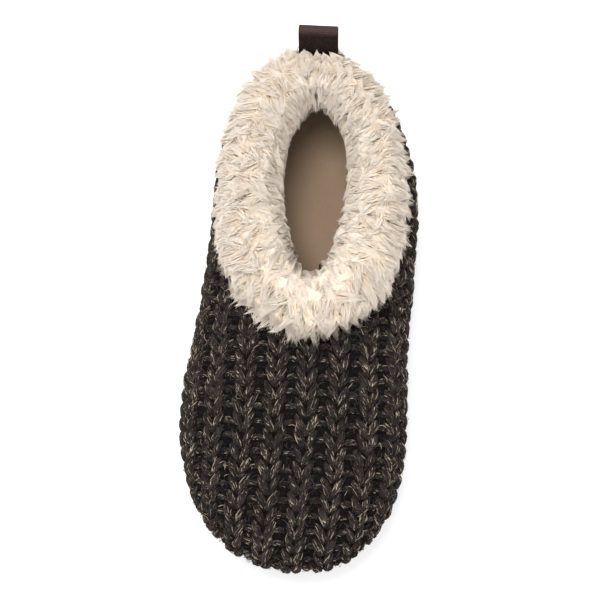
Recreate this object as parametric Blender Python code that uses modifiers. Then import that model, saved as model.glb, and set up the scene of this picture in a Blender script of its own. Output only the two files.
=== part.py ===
"""Knitted house slipper with a deep pile collar, a footbed, a rubber sole and a pull loop.

The slipper is for a right foot. The toe points to -Y, the outer side of the foot is -X, and the floor is
z = 0. Sizes are in millimetres and become metres in the meshes.
"""

import math

import bmesh
import bpy
import numpy as np
from mathutils import Matrix

MM = 0.001

# Around the shoe
RING_STEPS = 84
CURVE_SAMPLES = 720
LOW_SAMPLES = 24
HIGH_SAMPLES = 80
TABLE_STEPS = 201
TABLE_BLUR = 23
HEIGHT_BLUR = 81
GAP = 0.3
SOFT_GAP = 0.5

# Knitted upper
WALL = 3.5
FEATHER_INSET = 5.0
BULGE_RISE = 14.0
FOOT_REACH = 0.62
FOOT_LIFT = 0.06
FOOT_ROUND = 0.6
SHOULDER_RISE = 0.62
SHOULDER_REACH = 0.66
SHOULDER_DROP = 0.36
EDGE_CROWN = 0.6
# Rows of the wall, as shares of the way up from the feather edge
OUTER_SHARES = (0.0, 0.03, 0.07, 0.11, 0.15, 0.19, 0.24, 0.30, 0.38, 0.48, 0.58, 0.69, 0.80, 0.90, 1.0)
INNER_SHARES = (1.0, 0.88, 0.76, 0.64, 0.52, 0.40, 0.30, 0.23, 0.17, 0.11, 0.05)

# Outline of the upper at its widest level, seen from above
TOE_TIP = (3.2, -129.0)
HEEL_TIP = (3.2, 124.5)
UPPER_OUTLINE = (
    # y, x_lateral, x_medial
    (-123.2, -22.0, 28.6),
    (-113.0, -35.4, 40.1),
    (-92.7, -48.6, 51.0),
    (-62.0, -55.6, 55.4),
    (-17.0, -52.0, 54.0),
    (34.0, -46.6, 55.4),
    (75.0, -44.3, 51.6),
    (98.0, -37.3, 42.6),
    (115.0, -22.6, 28.6),
)

# Top edge of the knit, an oval round the foot
COLLAR_CENTRE = (4.0, 56.0)
COLLAR_HALF_WIDTH = 34.0
COLLAR_HALF_LENGTH = 60.0
COLLAR_HEIGHTS = (
    # share of the way from throat to heel, z
    (0.0, 64.0),
    (0.3, 60.0),
    (0.6, 57.5),
    (1.0, 64.0),
)
# Where the wall over each part of the outline meets the collar edge
COLLAR_MATCH = (
    # share of the outline from toe to heel, share of the collar edge from throat to heel
    (0.0, 0.0),
    (0.25, 0.07),
    (0.36, 0.12),
    (0.50, 0.21),
    (0.68, 0.46),
    (0.82, 0.70),
    (0.91, 0.85),
    (1.0, 1.0),
)

# Pile collar
FUR_FRONT = (6.0, -19.6)
FUR_BACK = (2.8, 123.2)
FUR_OUTLINE = (
    # y, x_lateral, x_medial
    (-13.3, -11.0, 27.0),
    (-3.6, -26.3, 38.3),
    (15.7, -39.3, 47.7),
    (49.5, -42.2, 50.2),
    (73.8, -41.6, 47.4),
    (88.2, -37.7, 42.3),
    (107.6, -27.8, 31.5),
    (117.3, -16.9, 20.7),
)
HOLE_FRONT = (4.8, 13.0)
HOLE_BACK = (4.8, 95.5)
HOLE_OUTLINE = (
    # y, x_lateral, x_medial
    (26.6, -4.4, 14.0),
    (50.8, -10.2, 19.8),
    (75.2, -9.2, 18.8),
    (88.0, -4.2, 13.8),
)
FUR_FLAP = 13.0
FUR_FLAP_EDGE = 1.2
FUR_LINING = 8.0
# The lining ends this far under the vamp at the throat, then runs down to a low share of the wall
LINING_AT_THROAT = 24.0
LINING_FOOT_SHARE = 0.12
LINING_DROPS_BETWEEN = (0.08, 0.32)
FUR_STEPS = 80
KNIT_FACING_STEPS = 6
LOCK_HEIGHT = 2.6
LOCK_HOLLOW = 0.9
LOCK_LEAN = 0.22
LOCK_SEED = 11
FUR_SECTION = (
    # share of the way to the outer (+) or inner (-) outline, height over the knit's edge, least over the hem
    (0.97, -12.0, 5.5),
    (0.84, 6.0, 10.5),
    (0.55, 10.6, None),
    (0.20, 12.6, None),
    (-0.18, 12.0, None),
    (-0.52, 9.0, None),
    (-0.82, 3.4, None),
    (-0.98, -4.5, None),
    (-0.94, -13.0, None),
)
FUR_SECTION_STEPS = 16
FUR_CROWN = 1.4

# Ends of the middle line, y
SPINE = (-87.0, 88.5)

# Footbed
FOOTBED_THICK = 5.0
FOOTBED_TAPER = 0.6
FOOTBED_RINGS = (
    # share of the way in from the edge, drop of the top face
    (0.0, 1.2),
    (0.05, 0.0),
    (0.16, 0.25),
    (0.36, 1.0),
    (0.56, 1.0),
)

# Rubber sole
SOLE_INSET = 3.0
SOLE_FORE = 9.0
SOLE_HEEL = 12.0
TOE_SPRING = 5.0
TOE_SPRING_FROM = -92.0
HEEL_BEVEL = 1.2
HEEL_BEVEL_FROM = 108.0
ARCH_RISE = 1.3
ARCH_SPAN = (-22.0, 42.0)
SOLE_SIDE = (
    # height share, inset
    (0.0, 2.6),
    (0.14, 1.0),
    (0.46, 0.7),
    (0.52, 1.5),
    (0.60, 1.5),
    (0.66, 0.2),
    (1.0, 0.0),
)
GROOVE_WIDTH = 3.2
GROOVE_DEPTH = 1.8
GROOVE_PITCH = 12.0
GROOVE_MARGIN = 9.0
GROOVE_FIRST = -86.0
GROOVE_COUNT = 17
GROOVES_IN_ARCH = (-28.0, 48.0)

# Pull loop, a folded ribbon
RIBBON_WIDTH = 19.0
RIBBON_THICK = 1.2
RIBBON_X = 3.5
RIBBON_ON_KNIT = (4.5, 1.0)
RIBBON_FREE = (
    # y, z of the front layer, from the knit's edge up to the fold
    (117.6, 67.0),
    (118.8, 73.5),
    (121.2, 81.0),
    (124.0, 88.0),
)
RIBBON_BACK_GAP = 0.4
RIBBON_FOLD_RADIUS = 1.9
RIBBON_CLOSING = 0.62
RIBBON_FOLD_STEPS = 7

# Looks of the plain solids
KNIT_COLOUR = (0.045, 0.036, 0.032, 1.0)
FUR_COLOUR = (0.83, 0.70, 0.56, 1.0)
FOOTBED_COLOUR = (0.27, 0.21, 0.15, 1.0)
RUBBER_COLOUR = (0.022, 0.019, 0.018, 1.0)
RIBBON_COLOUR = (0.035, 0.024, 0.024, 1.0)


def clear_scene():
    for obj in list(bpy.data.objects):
        bpy.data.objects.remove(obj, do_unlink=True)


def new_collection(name):
    collection = bpy.data.collections.new(name)
    bpy.context.scene.collection.children.link(collection)
    return collection


def plain_material(name, colour, roughness):
    material = bpy.data.materials.new(name)
    material.use_nodes = True
    shader = material.node_tree.nodes["Principled BSDF"]
    shader.inputs["Base Color"].default_value = colour
    shader.inputs["Roughness"].default_value = roughness
    shader.inputs["Metallic"].default_value = 0.0
    material.diffuse_color = colour
    return material


def eased(share):
    """A smooth step from 0 to 1."""
    share = np.clip(share, 0.0, 1.0)
    return share * share * (3.0 - 2.0 * share)


def folded(turn):
    """The share of the way from front to back at each turn, the same on both sides."""
    return np.abs(np.mod(np.asarray(turn, float) + 1.0, 2.0) - 1.0)


def softened(values, odd, window):
    """Values blurred along their list, carried past each end as a mirror image, or turned about it."""
    half = window // 2
    before, after = values[half:0:-1], values[-2 : -half - 2 : -1]
    if odd:
        before, after = 2.0 * values[0] - before, 2.0 * values[-1] - after
    kernel = np.hanning(window)
    return np.convolve(np.concatenate([before, values, after]), kernel / kernel.sum(), "valid")


class Ring:
    """A smooth closed curve in plan, read by its share of the way from front to back along a side."""

    def __init__(self, front, back, rows):
        lateral = [(x_lateral, y) for y, x_lateral, _ in rows]
        medial = [(x_medial, y) for y, _, x_medial in rows]
        knots = np.array([front, *lateral, back, *reversed(medial)], float)
        curve, back_index = self.smooth(knots, len(rows) + 1)
        self.sides = (curve[: back_index + 1], np.vstack([curve[back_index:], curve[:1]])[::-1])
        self.lengths = [self.run_of(side) for side in self.sides]

    @staticmethod
    def smooth(knots, back_knot):
        """Samples of the periodic cubic spline through the knots, and the sample that is the back knot."""
        count = len(knots)
        spans = np.linalg.norm(np.roll(knots, -1, axis=0) - knots, axis=1)
        matrix = np.zeros((count, count))
        right = np.zeros((count, 2))
        for i in range(count):
            before, after = spans[i - 1], spans[i]
            matrix[i, i - 1] += before
            matrix[i, i] += 2.0 * (before + after)
            matrix[i, (i + 1) % count] += after
            slope_after = (knots[(i + 1) % count] - knots[i]) / after
            slope_before = (knots[i] - knots[i - 1]) / before
            right[i] = 6.0 * (slope_after - slope_before)
        bends = np.linalg.solve(matrix, right)
        per_span = CURVE_SAMPLES // count
        shares = np.arange(per_span)[:, None] / per_span
        samples = []
        for i in range(count):
            j = (i + 1) % count
            a, b, h = 1.0 - shares, shares, spans[i]
            cubic_a = (a**3 - a) * h * h / 6.0
            cubic_b = (b**3 - b) * h * h / 6.0
            samples.append(a * knots[i] + b * knots[j] + cubic_a * bends[i] + cubic_b * bends[j])
        return np.vstack(samples), back_knot * per_span

    @staticmethod
    def run_of(points):
        steps = np.linalg.norm(np.diff(points, axis=0), axis=1)
        run = np.concatenate([[0.0], np.cumsum(steps)])
        return run / run[-1]

    def at(self, turn):
        """Points (x, y) at each turn: 0 at the front, 1 at the back by the lateral side, 2 at the front."""
        turn = np.mod(np.asarray(turn, float), 2.0)
        found = np.empty((len(turn), 2))
        for side, lateral in enumerate((True, False)):
            here = (turn <= 1.0) == lateral
            share = turn[here] if lateral else 2.0 - turn[here]
            for axis in (0, 1):
                found[here, axis] = np.interp(share, self.lengths[side], self.sides[side][:, axis])
        return found

    def outward(self, turn):
        """The outward unit normal in plan at each turn."""
        small = 0.004
        along = self.at(np.asarray(turn) + small) - self.at(np.asarray(turn) - small)
        normal = np.stack([-along[:, 1], along[:, 0]], axis=1)
        return normal / np.linalg.norm(normal, axis=1, keepdims=True)


def collar_rows():
    """The knit's top edge as a table of the same form as the other outlines."""
    rows = []
    for angle in np.radians((30.0, 60.0, 90.0, 120.0, 150.0)):
        half = COLLAR_HALF_WIDTH * math.sin(angle)
        y = COLLAR_CENTRE[1] - COLLAR_HALF_LENGTH * math.cos(angle)
        rows.append((y, COLLAR_CENTRE[0] - half, COLLAR_CENTRE[0] + half))
    return rows


OUTLINE = Ring(TOE_TIP, HEEL_TIP, UPPER_OUTLINE)
COLLAR = Ring(
    (COLLAR_CENTRE[0], COLLAR_CENTRE[1] - COLLAR_HALF_LENGTH),
    (COLLAR_CENTRE[0], COLLAR_CENTRE[1] + COLLAR_HALF_LENGTH),
    collar_rows(),
)
FUR_OUTER = Ring(FUR_FRONT, FUR_BACK, FUR_OUTLINE)
FUR_INNER = Ring(HOLE_FRONT, HOLE_BACK, HOLE_OUTLINE)


def matched(turn, source, target):
    """Each turn read through COLLAR_MATCH from one column to the other, the same on both sides."""
    outline_share, collar_share = np.array(COLLAR_MATCH).T
    fine = np.linspace(0.0, 1.0, TABLE_STEPS)
    columns = (fine, softened(np.interp(fine, outline_share, collar_share), True, TABLE_BLUR))
    read = np.interp(folded(turn), columns[source], columns[target])
    return np.where(np.mod(turn, 2.0) <= 1.0, read, 2.0 - read)


def to_collar(turn):
    return matched(turn, 0, 1)


def to_outline(turn):
    return matched(turn, 1, 0)


def collar_height(turn):
    """Height of the knit's edge at each turn round the collar."""
    share, height = np.array(COLLAR_HEIGHTS).T
    fine = np.linspace(0.0, 1.0, TABLE_STEPS)
    soft = softened(np.interp(fine, share, height), False, HEIGHT_BLUR)
    return np.interp(folded(turn), fine, soft)


def sole_bottom(y):
    """Height of the sole's underside over the floor: toe spring, arch and a small lift behind the heel."""
    y = np.asarray(y, float)
    spring = np.clip((TOE_SPRING_FROM - y) / (TOE_SPRING_FROM - TOE_TIP[1]), 0.0, None)
    lift = np.clip((y - HEEL_BEVEL_FROM) / (HEEL_TIP[1] - HEEL_BEVEL_FROM), 0.0, None)
    arch = np.clip((y - ARCH_SPAN[0]) / (ARCH_SPAN[1] - ARCH_SPAN[0]), 0.0, 1.0)
    return TOE_SPRING * spring**2 + HEEL_BEVEL * lift**2 + ARCH_RISE * np.sin(math.pi * arch) ** 2


def sole_top(y):
    """Height of the face that carries the upper and the footbed."""
    y = np.asarray(y, float)
    rise = eased((y - ARCH_SPAN[0]) / (ARCH_SPAN[1] - ARCH_SPAN[0]))
    spring = np.clip((TOE_SPRING_FROM - y) / (TOE_SPRING_FROM - TOE_TIP[1]), 0.0, None)
    return SOLE_FORE + (SOLE_HEEL - SOLE_FORE) * rise + TOE_SPRING * spring**2


def bezier(p0, p1, p2, p3, shares):
    """Points of cubic curves, one for each row of the control points, at the shares."""
    t = shares[None, :, None]
    a, b, c, d = (p[:, None, :] for p in (p0, p1, p2, p3))
    return (1 - t) ** 3 * a + 3 * (1 - t) ** 2 * t * b + 3 * (1 - t) * t**2 * c + t**3 * d


def stacked(plan, height):
    return np.column_stack([plan, height])


def meridians(turn):
    """Dense lines up the outside of the upper, from feather edge to collar edge, one for each turn."""
    plan, normal = OUTLINE.at(turn), OUTLINE.outward(turn)
    foot = plan - FEATHER_INSET * normal
    foot_z = sole_top(foot[:, 1]) + GAP
    bulge_z = foot_z + BULGE_RISE
    around = to_collar(turn)
    edge, edge_z = COLLAR.at(around), collar_height(around)
    rise = edge_z - bulge_z
    low = bezier(
        stacked(foot, foot_z),
        stacked(foot + FOOT_REACH * FEATHER_INSET * normal, foot_z + FOOT_LIFT * BULGE_RISE),
        stacked(plan, bulge_z - FOOT_ROUND * BULGE_RISE),
        stacked(plan, bulge_z),
        np.linspace(0.0, 1.0, LOW_SAMPLES),
    )
    high = bezier(
        stacked(plan, bulge_z),
        stacked(plan, bulge_z + SHOULDER_RISE * rise),
        stacked(edge + SHOULDER_REACH * (plan - edge), edge_z - SHOULDER_DROP * rise),
        stacked(edge, edge_z),
        np.linspace(0.0, 1.0, HIGH_SAMPLES),
    )
    return np.concatenate([low, high[:, 1:]], axis=1)


def along_line(line, share):
    """The point at a share of a polyline's length."""
    run = np.concatenate([[0.0], np.cumsum(np.linalg.norm(np.diff(line, axis=0), axis=1))])
    return np.array([np.interp(share * run[-1], run, line[:, k]) for k in range(3)]).T


def surface(turn, share):
    """Points and outward normals of the upper's outside, at each turn and each share up its line.

    share may be one list for all turns, or one row for each turn.
    """
    turn = np.asarray(turn, float)
    share = np.broadcast_to(share, (len(turn), np.shape(share)[-1]))
    step, rise = 0.006, 0.01
    here = np.array([along_line(line, s) for line, s in zip(meridians(turn), share)])
    ahead = np.array([along_line(line, s) for line, s in zip(meridians(turn + step), share)])
    behind = np.array([along_line(line, s) for line, s in zip(meridians(turn - step), share)])
    up = np.clip(share + rise, 0.0, 1.0)
    down = np.clip(share - rise, 0.0, 1.0)
    above = np.array([along_line(line, s) for line, s in zip(meridians(turn), up)])
    below = np.array([along_line(line, s) for line, s in zip(meridians(turn), down)])
    normal = np.cross(above - below, ahead - behind)
    normal /= np.linalg.norm(normal, axis=2, keepdims=True)
    return here, normal


def lengths_up(turn):
    """Length of the wall's outside at each turn."""
    return np.array([np.linalg.norm(np.diff(line, axis=0), axis=1).sum() for line in meridians(turn)])


def loft(name, rings, collection, material, torus=False, caps=()):
    """A closed solid through rings of equal count: a torus, or a stack with filled caps."""
    count = len(rings[0])
    points = [tuple(p * MM) for ring in rings for p in ring]
    faces = []
    spans = len(rings) if torus else len(rings) - 1
    for k in range(spans):
        a, b = k * count, ((k + 1) % len(rings)) * count
        for i in range(count):
            j = (i + 1) % count
            faces.append((a + i, b + i, b + j, a + j))
    for ring_index in caps:
        a, last = ring_index * count, ring_index != 0
        for i in range(count // 2):
            i2, j, j2 = i + 1, (count - i) % count, count - i - 1
            quad = [a + i, a + j, a + j2, a + i2] if last else [a + i, a + i2, a + j2, a + j]
            face = tuple(dict.fromkeys(quad))
            if len(face) > 2:
                faces.append(face)
    mesh = bpy.data.meshes.new(name)
    mesh.from_pydata(points, [], faces)
    mesh.update()
    obj = bpy.data.objects.new(name, mesh)
    collection.objects.link(obj)
    mesh.materials.append(material)
    mesh.shade_smooth()
    return obj


def ring_turns(steps):
    """Turns for one ring, the toe first and both sides alike."""
    return np.arange(steps) * 2.0 / steps


def build_upper(collection, material):
    """The knit: one wall from the feather edge over the toe and up to the collar edge, open at both."""
    turn = ring_turns(RING_STEPS)
    outside, _ = surface(turn, np.array(OUTER_SHARES))
    skin, normal = surface(turn, np.array(INNER_SHARES))
    inside = skin - WALL * normal
    foot = OUTLINE.at(turn) - (FEATHER_INSET + WALL) * OUTLINE.outward(turn)
    foot_ring = stacked(foot, sole_top(foot[:, 1]) + GAP)
    crown = (outside[:, -1] + inside[:, 0]) / 2.0
    crown[:, 2] += EDGE_CROWN
    rings = [outside[:, k] for k in range(len(OUTER_SHARES))]
    rings.append(crown)
    rings += [inside[:, k] for k in range(len(INNER_SHARES))]
    rings.append(foot_ring)
    return loft("upper", rings, collection, material, torus=True)


def smooth_line(points, count):
    """count points evenly along a Catmull-Rom curve through the points."""
    points = np.asarray(points)
    ends = np.vstack([2 * points[0] - points[1], points, 2 * points[-1] - points[-2]])
    dense = []
    for i in range(len(points) - 1):
        p0, p1, p2, p3 = ends[i : i + 4]
        for t in np.arange(8) / 8.0:
            bend = (2 * p0 - 5 * p1 + 4 * p2 - p3) * t * t + (3 * p1 - p0 - 3 * p2 + p3) * t**3
            dense.append(0.5 * (2 * p1 + (p2 - p0) * t + bend))
    dense.append(points[-1])
    return along_line(np.array(dense), np.linspace(0.0, 1.0, count))


def lining_foot(turn, length):
    """How far up the wall the lining ends, as a share of the wall's length."""
    throat = 1.0 - LINING_AT_THROAT / length
    start, end = LINING_DROPS_BETWEEN
    return throat + (LINING_FOOT_SHARE - throat) * eased((folded(turn) - start) / (end - start))


def fur_faces(turn):
    """At each turn of the collar: the pile's visible face, and those that hug the knit outside and inside."""
    on_outline = to_outline(turn)
    length = lengths_up(on_outline)
    edge, edge_z = COLLAR.at(turn), collar_height(turn)
    outer, inner = FUR_OUTER.at(turn), FUR_INNER.at(turn)

    flap = 1.0 - FUR_FLAP / length
    foot = lining_foot(turn, length)
    rise = np.linspace(0.0, 1.0, KNIT_FACING_STEPS)
    skin_out, normal_out = surface(on_outline, flap[:, None] + (1.0 - flap)[:, None] * rise)
    skin_in, normal_in = surface(on_outline, 1.0 - (1.0 - foot)[:, None] * rise)
    outside = skin_out + SOFT_GAP * normal_out
    inside = skin_in - (WALL + SOFT_GAP) * normal_in
    floor = sole_top(inside[:, -1, 1]) + GAP + FOOTBED_THICK + SOFT_GAP
    inside[:, -1, 2] = np.maximum(inside[:, -1, 2], floor)

    lining = skin_in - (WALL + SOFT_GAP + FUR_LINING) * normal_in
    lining[:, -1, 2] = np.maximum(lining[:, -1, 2], floor)

    visible = []
    for i in range(len(turn)):
        hem_z = outside[i, 0, 2]
        rows = [outside[i, 0] + FUR_FLAP_EDGE * normal_out[i, 0]]
        for across, height, over_hem in FUR_SECTION:
            toward = outer[i] if across > 0 else inner[i]
            plan = edge[i] + (toward - edge[i]) * abs(across)
            z = edge_z[i] + height
            if over_hem is not None:
                z = max(z, hem_z + over_hem)
            rows.append(np.array([*plan, z]))
        rows += [lining[i, -3], lining[i, -1]]
        visible.append(smooth_line(rows, FUR_SECTION_STEPS))
    return np.array(visible), outside, inside


def locks(visible):
    """The visible face raised into tapered locks, two cells across, combed outwards and down."""
    rng = np.random.default_rng(LOCK_SEED)
    turns, steps = visible.shape[:2]
    ahead = np.roll(visible, -1, axis=0) - np.roll(visible, 1, axis=0)
    up = np.gradient(visible, axis=1)
    normal = np.cross(ahead, up)
    normal /= np.linalg.norm(normal, axis=2, keepdims=True)
    raised = visible.copy()
    for i in range(turns):
        for j in range(1, steps - 2):
            tip = (i + j // 2) % 2 == 0 and j % 2 == 1
            amount = LOCK_HEIGHT * (0.75 + 0.5 * rng.random()) if tip else -LOCK_HOLLOW
            raised[i, j] += amount * normal[i, j]
            if tip:
                raised[i, j] -= LOCK_LEAN * up[i, j]
    return raised


def build_fur_collar(collection, material):
    """The pile collar: a deep roll over the knit's edge, a flap outside and a lining inside."""
    turn = ring_turns(FUR_STEPS)
    visible, outside, inside = fur_faces(turn)
    visible = locks(visible)
    crown = (outside[:, -1] + inside[:, 0]) / 2.0
    crown[:, 2] += FUR_CROWN
    section = [visible[:, k] for k in range(FUR_SECTION_STEPS)]
    section += [inside[:, k] for k in range(KNIT_FACING_STEPS - 1, -1, -1)]
    section.append(crown)
    section += [outside[:, k] for k in range(KNIT_FACING_STEPS - 1, -1, -1)]
    return loft("fur_collar", section, collection, material, torus=True)


def inset_ring(inset, height_at, turn, pull=0.0):
    """A ring at a distance inside the upper's outline, pulled towards the shoe's middle line by a share."""
    plan = OUTLINE.at(turn) - inset * OUTLINE.outward(turn)
    spine_y = np.clip(plan[:, 1], *SPINE)
    spine = np.column_stack([np.full(len(turn), TOE_TIP[0]), spine_y])
    plan = plan + pull * (spine - plan)
    return stacked(plan, height_at(plan[:, 1]))


def build_insole(collection, material):
    """The footbed: a soft board with a shallow dish, on the sole and inside the knit."""
    turn = ring_turns(RING_STEPS)
    inset = FEATHER_INSET + WALL + SOFT_GAP
    rings = [inset_ring(inset + FOOTBED_TAPER, lambda y: sole_top(y) + GAP, turn)]
    for pull, drop in FOOTBED_RINGS:
        rings.append(
            inset_ring(inset, lambda y, drop=drop: sole_top(y) + GAP + FOOTBED_THICK - drop, turn, pull)
        )
    return loft("insole", rings, collection, material, caps=(0, len(rings) - 1))


def build_outsole(collection, cutters, material):
    """The rubber sole: toe spring, shallow arch, a groove round its side and bars across its tread."""
    turn = ring_turns(RING_STEPS)
    rings = []
    for share, inset in SOLE_SIDE:
        rings.append(
            inset_ring(
                SOLE_INSET + inset,
                lambda y, share=share: sole_bottom(y) + share * (sole_top(y) - sole_bottom(y)),
                turn,
            )
        )
    sole = loft("outsole", rings, collection, material, caps=(0, len(rings) - 1))
    cutter = groove_cutter(cutters)
    cut = sole.modifiers.new("tread", "BOOLEAN")
    cut.operation = "DIFFERENCE"
    cut.solver = "EXACT"
    cut.object = cutter
    return sole


def groove_cutter(cutters):
    """Thin bars under the sole, one for each groove of the tread."""
    shape = bmesh.new()
    for k in range(GROOVE_COUNT):
        y = GROOVE_FIRST + k * GROOVE_PITCH
        if GROOVES_IN_ARCH[0] < y < GROOVES_IN_ARCH[1]:
            continue
        near = [p[0] for p in np.vstack(OUTLINE.sides) if abs(p[1] - y) < GROOVE_PITCH / 2.0]
        low_x = min(near) + SOLE_INSET + GROOVE_MARGIN
        high_x = max(near) - SOLE_INSET - GROOVE_MARGIN
        height = 2.0 * (float(sole_bottom(y)) + GROOVE_DEPTH)
        place = Matrix.Translation(((low_x + high_x) / 2.0 * MM, y * MM, 0.0))
        size = Matrix.Diagonal(((high_x - low_x) * MM, GROOVE_WIDTH * MM, height * MM, 1.0))
        bmesh.ops.create_cube(shape, size=1.0, matrix=place @ size)
    mesh = bpy.data.meshes.new("groove_cutter")
    shape.to_mesh(mesh)
    shape.free()
    obj = bpy.data.objects.new("groove_cutter", mesh)
    cutters.objects.link(obj)
    obj.hide_render = True
    obj.display_type = "WIRE"
    return obj


def ribbon_path():
    """(y, z) down the middle of the ribbon: up the front layer, over the fold and down the back layer."""
    heel = np.array([1.0])
    skin, normal = surface(heel, 1.0 - np.array(RIBBON_ON_KNIT) / lengths_up(heel)[0])
    held = skin[0] + (SOFT_GAP + RIBBON_THICK / 2.0) * normal[0]
    front = [p[1:] for p in held] + [np.array(p) for p in RIBBON_FREE]
    apart = RIBBON_THICK + RIBBON_BACK_GAP
    along = front[-1] - front[-2]
    along /= np.linalg.norm(along)
    across = np.array([along[1], -along[0]])
    centre = front[-1] + across * RIBBON_FOLD_RADIUS
    fold = []
    for k in range(1, RIBBON_FOLD_STEPS):
        angle = math.pi * k / RIBBON_FOLD_STEPS
        fold.append(centre - RIBBON_FOLD_RADIUS * (across * math.cos(angle) - along * math.sin(angle)))
    back = []
    for k, point in enumerate(reversed(front)):
        spread = max(apart, 2.0 * RIBBON_FOLD_RADIUS - RIBBON_CLOSING * k)
        step = front[-1 - k] - front[max(len(front) - 2 - k, 0)]
        if not step.any():
            step = front[1] - front[0]
        step = step / np.linalg.norm(step)
        back.append(point + np.array([step[1], -step[0]]) * spread)
    return front, fold, back


def build_pull_loop(collection, material):
    """The pull loop: one ribbon folded over, both ends in the seam behind the heel."""
    front, fold, back = ribbon_path()
    line = front + fold + back
    half = RIBBON_WIDTH / 2.0
    points = [((RIBBON_X + side * half) * MM, y * MM, z * MM) for y, z in line for side in (-1, 1)]
    faces = [(2 * k, 2 * k + 1, 2 * k + 3, 2 * k + 2) for k in range(len(line) - 1)]
    mesh = bpy.data.meshes.new("pull_loop")
    mesh.from_pydata(points, [], faces)
    obj = bpy.data.objects.new("pull_loop", mesh)
    collection.objects.link(obj)
    mesh.materials.append(material)
    thick = obj.modifiers.new("ribbon", "SOLIDIFY")
    thick.thickness = RIBBON_THICK * MM
    thick.offset = 0.0
    thick.use_even_offset = True
    return obj


def loop_slot_cutter(cutters):
    """The room that the ribbon takes in the pile, a little wider all round."""
    front, _, back = ribbon_path()
    back = back[::-1]
    half = RIBBON_WIDTH / 2.0 + SOFT_GAP
    reach = RIBBON_THICK / 2.0 + SOFT_GAP
    rings = []
    for k, (a, b) in enumerate(zip(front, back)):
        across = (b - a) / np.linalg.norm(b - a)
        low, high = a - across * reach, b + across * reach
        if k == 0:
            along = front[1] - front[0]
            below = SOFT_GAP * along / np.linalg.norm(along)
            low, high = low - below, high - below
        rings.append([
            np.array([RIBBON_X - half, *low]),
            np.array([RIBBON_X - half, *high]),
            np.array([RIBBON_X + half, *high]),
            np.array([RIBBON_X + half, *low]),
        ])
    material = plain_material("cutter", RIBBON_COLOUR, 0.5)
    obj = loft("loop_slot_cutter", rings, cutters, material, caps=(0, len(rings) - 1))
    obj.hide_render = True
    obj.display_type = "WIRE"
    return obj


def main():
    clear_scene()
    slipper = new_collection("knitted_slipper")
    cutters = new_collection("cutters")
    cutters.hide_render = True
    knit = plain_material("charcoal_knit", KNIT_COLOUR, 0.95)
    pile = plain_material("cream_pile", FUR_COLOUR, 0.9)
    footbed = plain_material("taupe_footbed", FOOTBED_COLOUR, 0.85)
    rubber = plain_material("dark_rubber", RUBBER_COLOUR, 0.6)
    ribbon = plain_material("brown_ribbon", RIBBON_COLOUR, 0.7)
    build_outsole(slipper, cutters, rubber)
    build_insole(slipper, footbed)
    build_upper(slipper, knit)
    fur = build_fur_collar(slipper, pile)
    build_pull_loop(slipper, ribbon)
    slot = fur.modifiers.new("loop_slot", "BOOLEAN")
    slot.operation = "DIFFERENCE"
    slot.solver = "EXACT"
    slot.object = loop_slot_cutter(cutters)


main()
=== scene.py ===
import math

import bmesh
import bpy
import numpy as np
from bpy.props import FloatProperty, FloatVectorProperty, IntProperty, PointerProperty
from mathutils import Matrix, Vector
from mathutils.bvhtree import BVHTree


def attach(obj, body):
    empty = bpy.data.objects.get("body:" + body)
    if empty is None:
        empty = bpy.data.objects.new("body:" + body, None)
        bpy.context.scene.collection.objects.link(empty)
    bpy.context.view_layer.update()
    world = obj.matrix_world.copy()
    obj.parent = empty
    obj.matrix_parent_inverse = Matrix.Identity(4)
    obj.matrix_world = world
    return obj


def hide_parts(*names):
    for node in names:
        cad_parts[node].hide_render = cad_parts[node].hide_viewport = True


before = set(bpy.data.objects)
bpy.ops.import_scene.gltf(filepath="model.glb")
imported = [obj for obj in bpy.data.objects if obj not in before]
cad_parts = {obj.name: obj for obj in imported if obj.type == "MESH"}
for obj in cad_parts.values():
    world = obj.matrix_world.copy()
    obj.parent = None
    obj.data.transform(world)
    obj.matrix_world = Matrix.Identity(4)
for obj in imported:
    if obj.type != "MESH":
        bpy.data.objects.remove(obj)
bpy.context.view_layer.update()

bl_info = {
    "name": "Knitted Slipper",
    "version": (1, 0, 0),
    "blender": (4, 5, 0),
    "location": "3D View > Sidebar > Slipper",
    "description": "Dresses a house slipper in ribbed knit, deep pile, suede footbed, rubber sole and ribbon",
    "category": "Object",
}

MM = 0.001

# Lines of the knit, read from the solid upper by section planes: a fan round the toe, straight planes
# along the shoe and a fan round the heel
TOE_PIVOT_Y = -0.090
HEEL_PIVOT = (0.0032, 0.078)
THROAT_Y = -0.007
MIDDLE_X = (
    # y, x of the middle rib
    (-0.129, 0.0036),
    (-0.105, 0.0055),
    (-0.070, 0.0070),
    (0.0, 0.0066),
)
TOE_FAN = 34
HEEL_FAN = 26
PLANE_STEP = 0.003
RAY_STEPS = 91
ACROSS_STEP = 0.001
ACROSS_REACH = 0.098
ROWS_FROM_Y = -0.045

# Section lines: where their rays start, how far they go, the widest gap in a line and the slack at its ends
RAY_FROM = 0.3
RAY_REACH = 0.298
LINE_GAP = 0.02
END_SLACK = 0.0005

# Tones run from 0 to 1 and vary the yarn at random; those below 0 paint shade on yarn in the depth of the
# knit
PAINTED_SHADE_TONE = -0.95

# How far the ground of the knit stays under the outside of the upper
GROUND_DROP = 0.0022

# Edge of the knit under the pile
COLLAR_CENTRE = (0.004, 0.056)
COLLAR_HALF = (0.034, 0.060)
UNDER_PILE = 0.008

# The pile's face ends where it comes this close to the knit, at its hem and inside
HEM_CLEAR = 0.0034
INSIDE_CLEAR = 0.0012

# The dense pile stays under the tips of the locks, by a share of its depth up to the most
PILE_SINK = 0.32
MOST_SINK = 0.0028

# Toe lining: its room to the knit, how far back it runs, and its room to the footbed and the collar
LINING_CLEAR = 0.0003
LINING_TO_Y = 0.012
LINING_GAP = 0.0024

# From one pointed tooth of pile to the next along the hem
HEM_TOOTH = 0.0048

# Crease of the pile down the inside of the heel
CREASE_WIDTH = 0.0026
CREASE_DEPTH = 3.2 * MM

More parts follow.
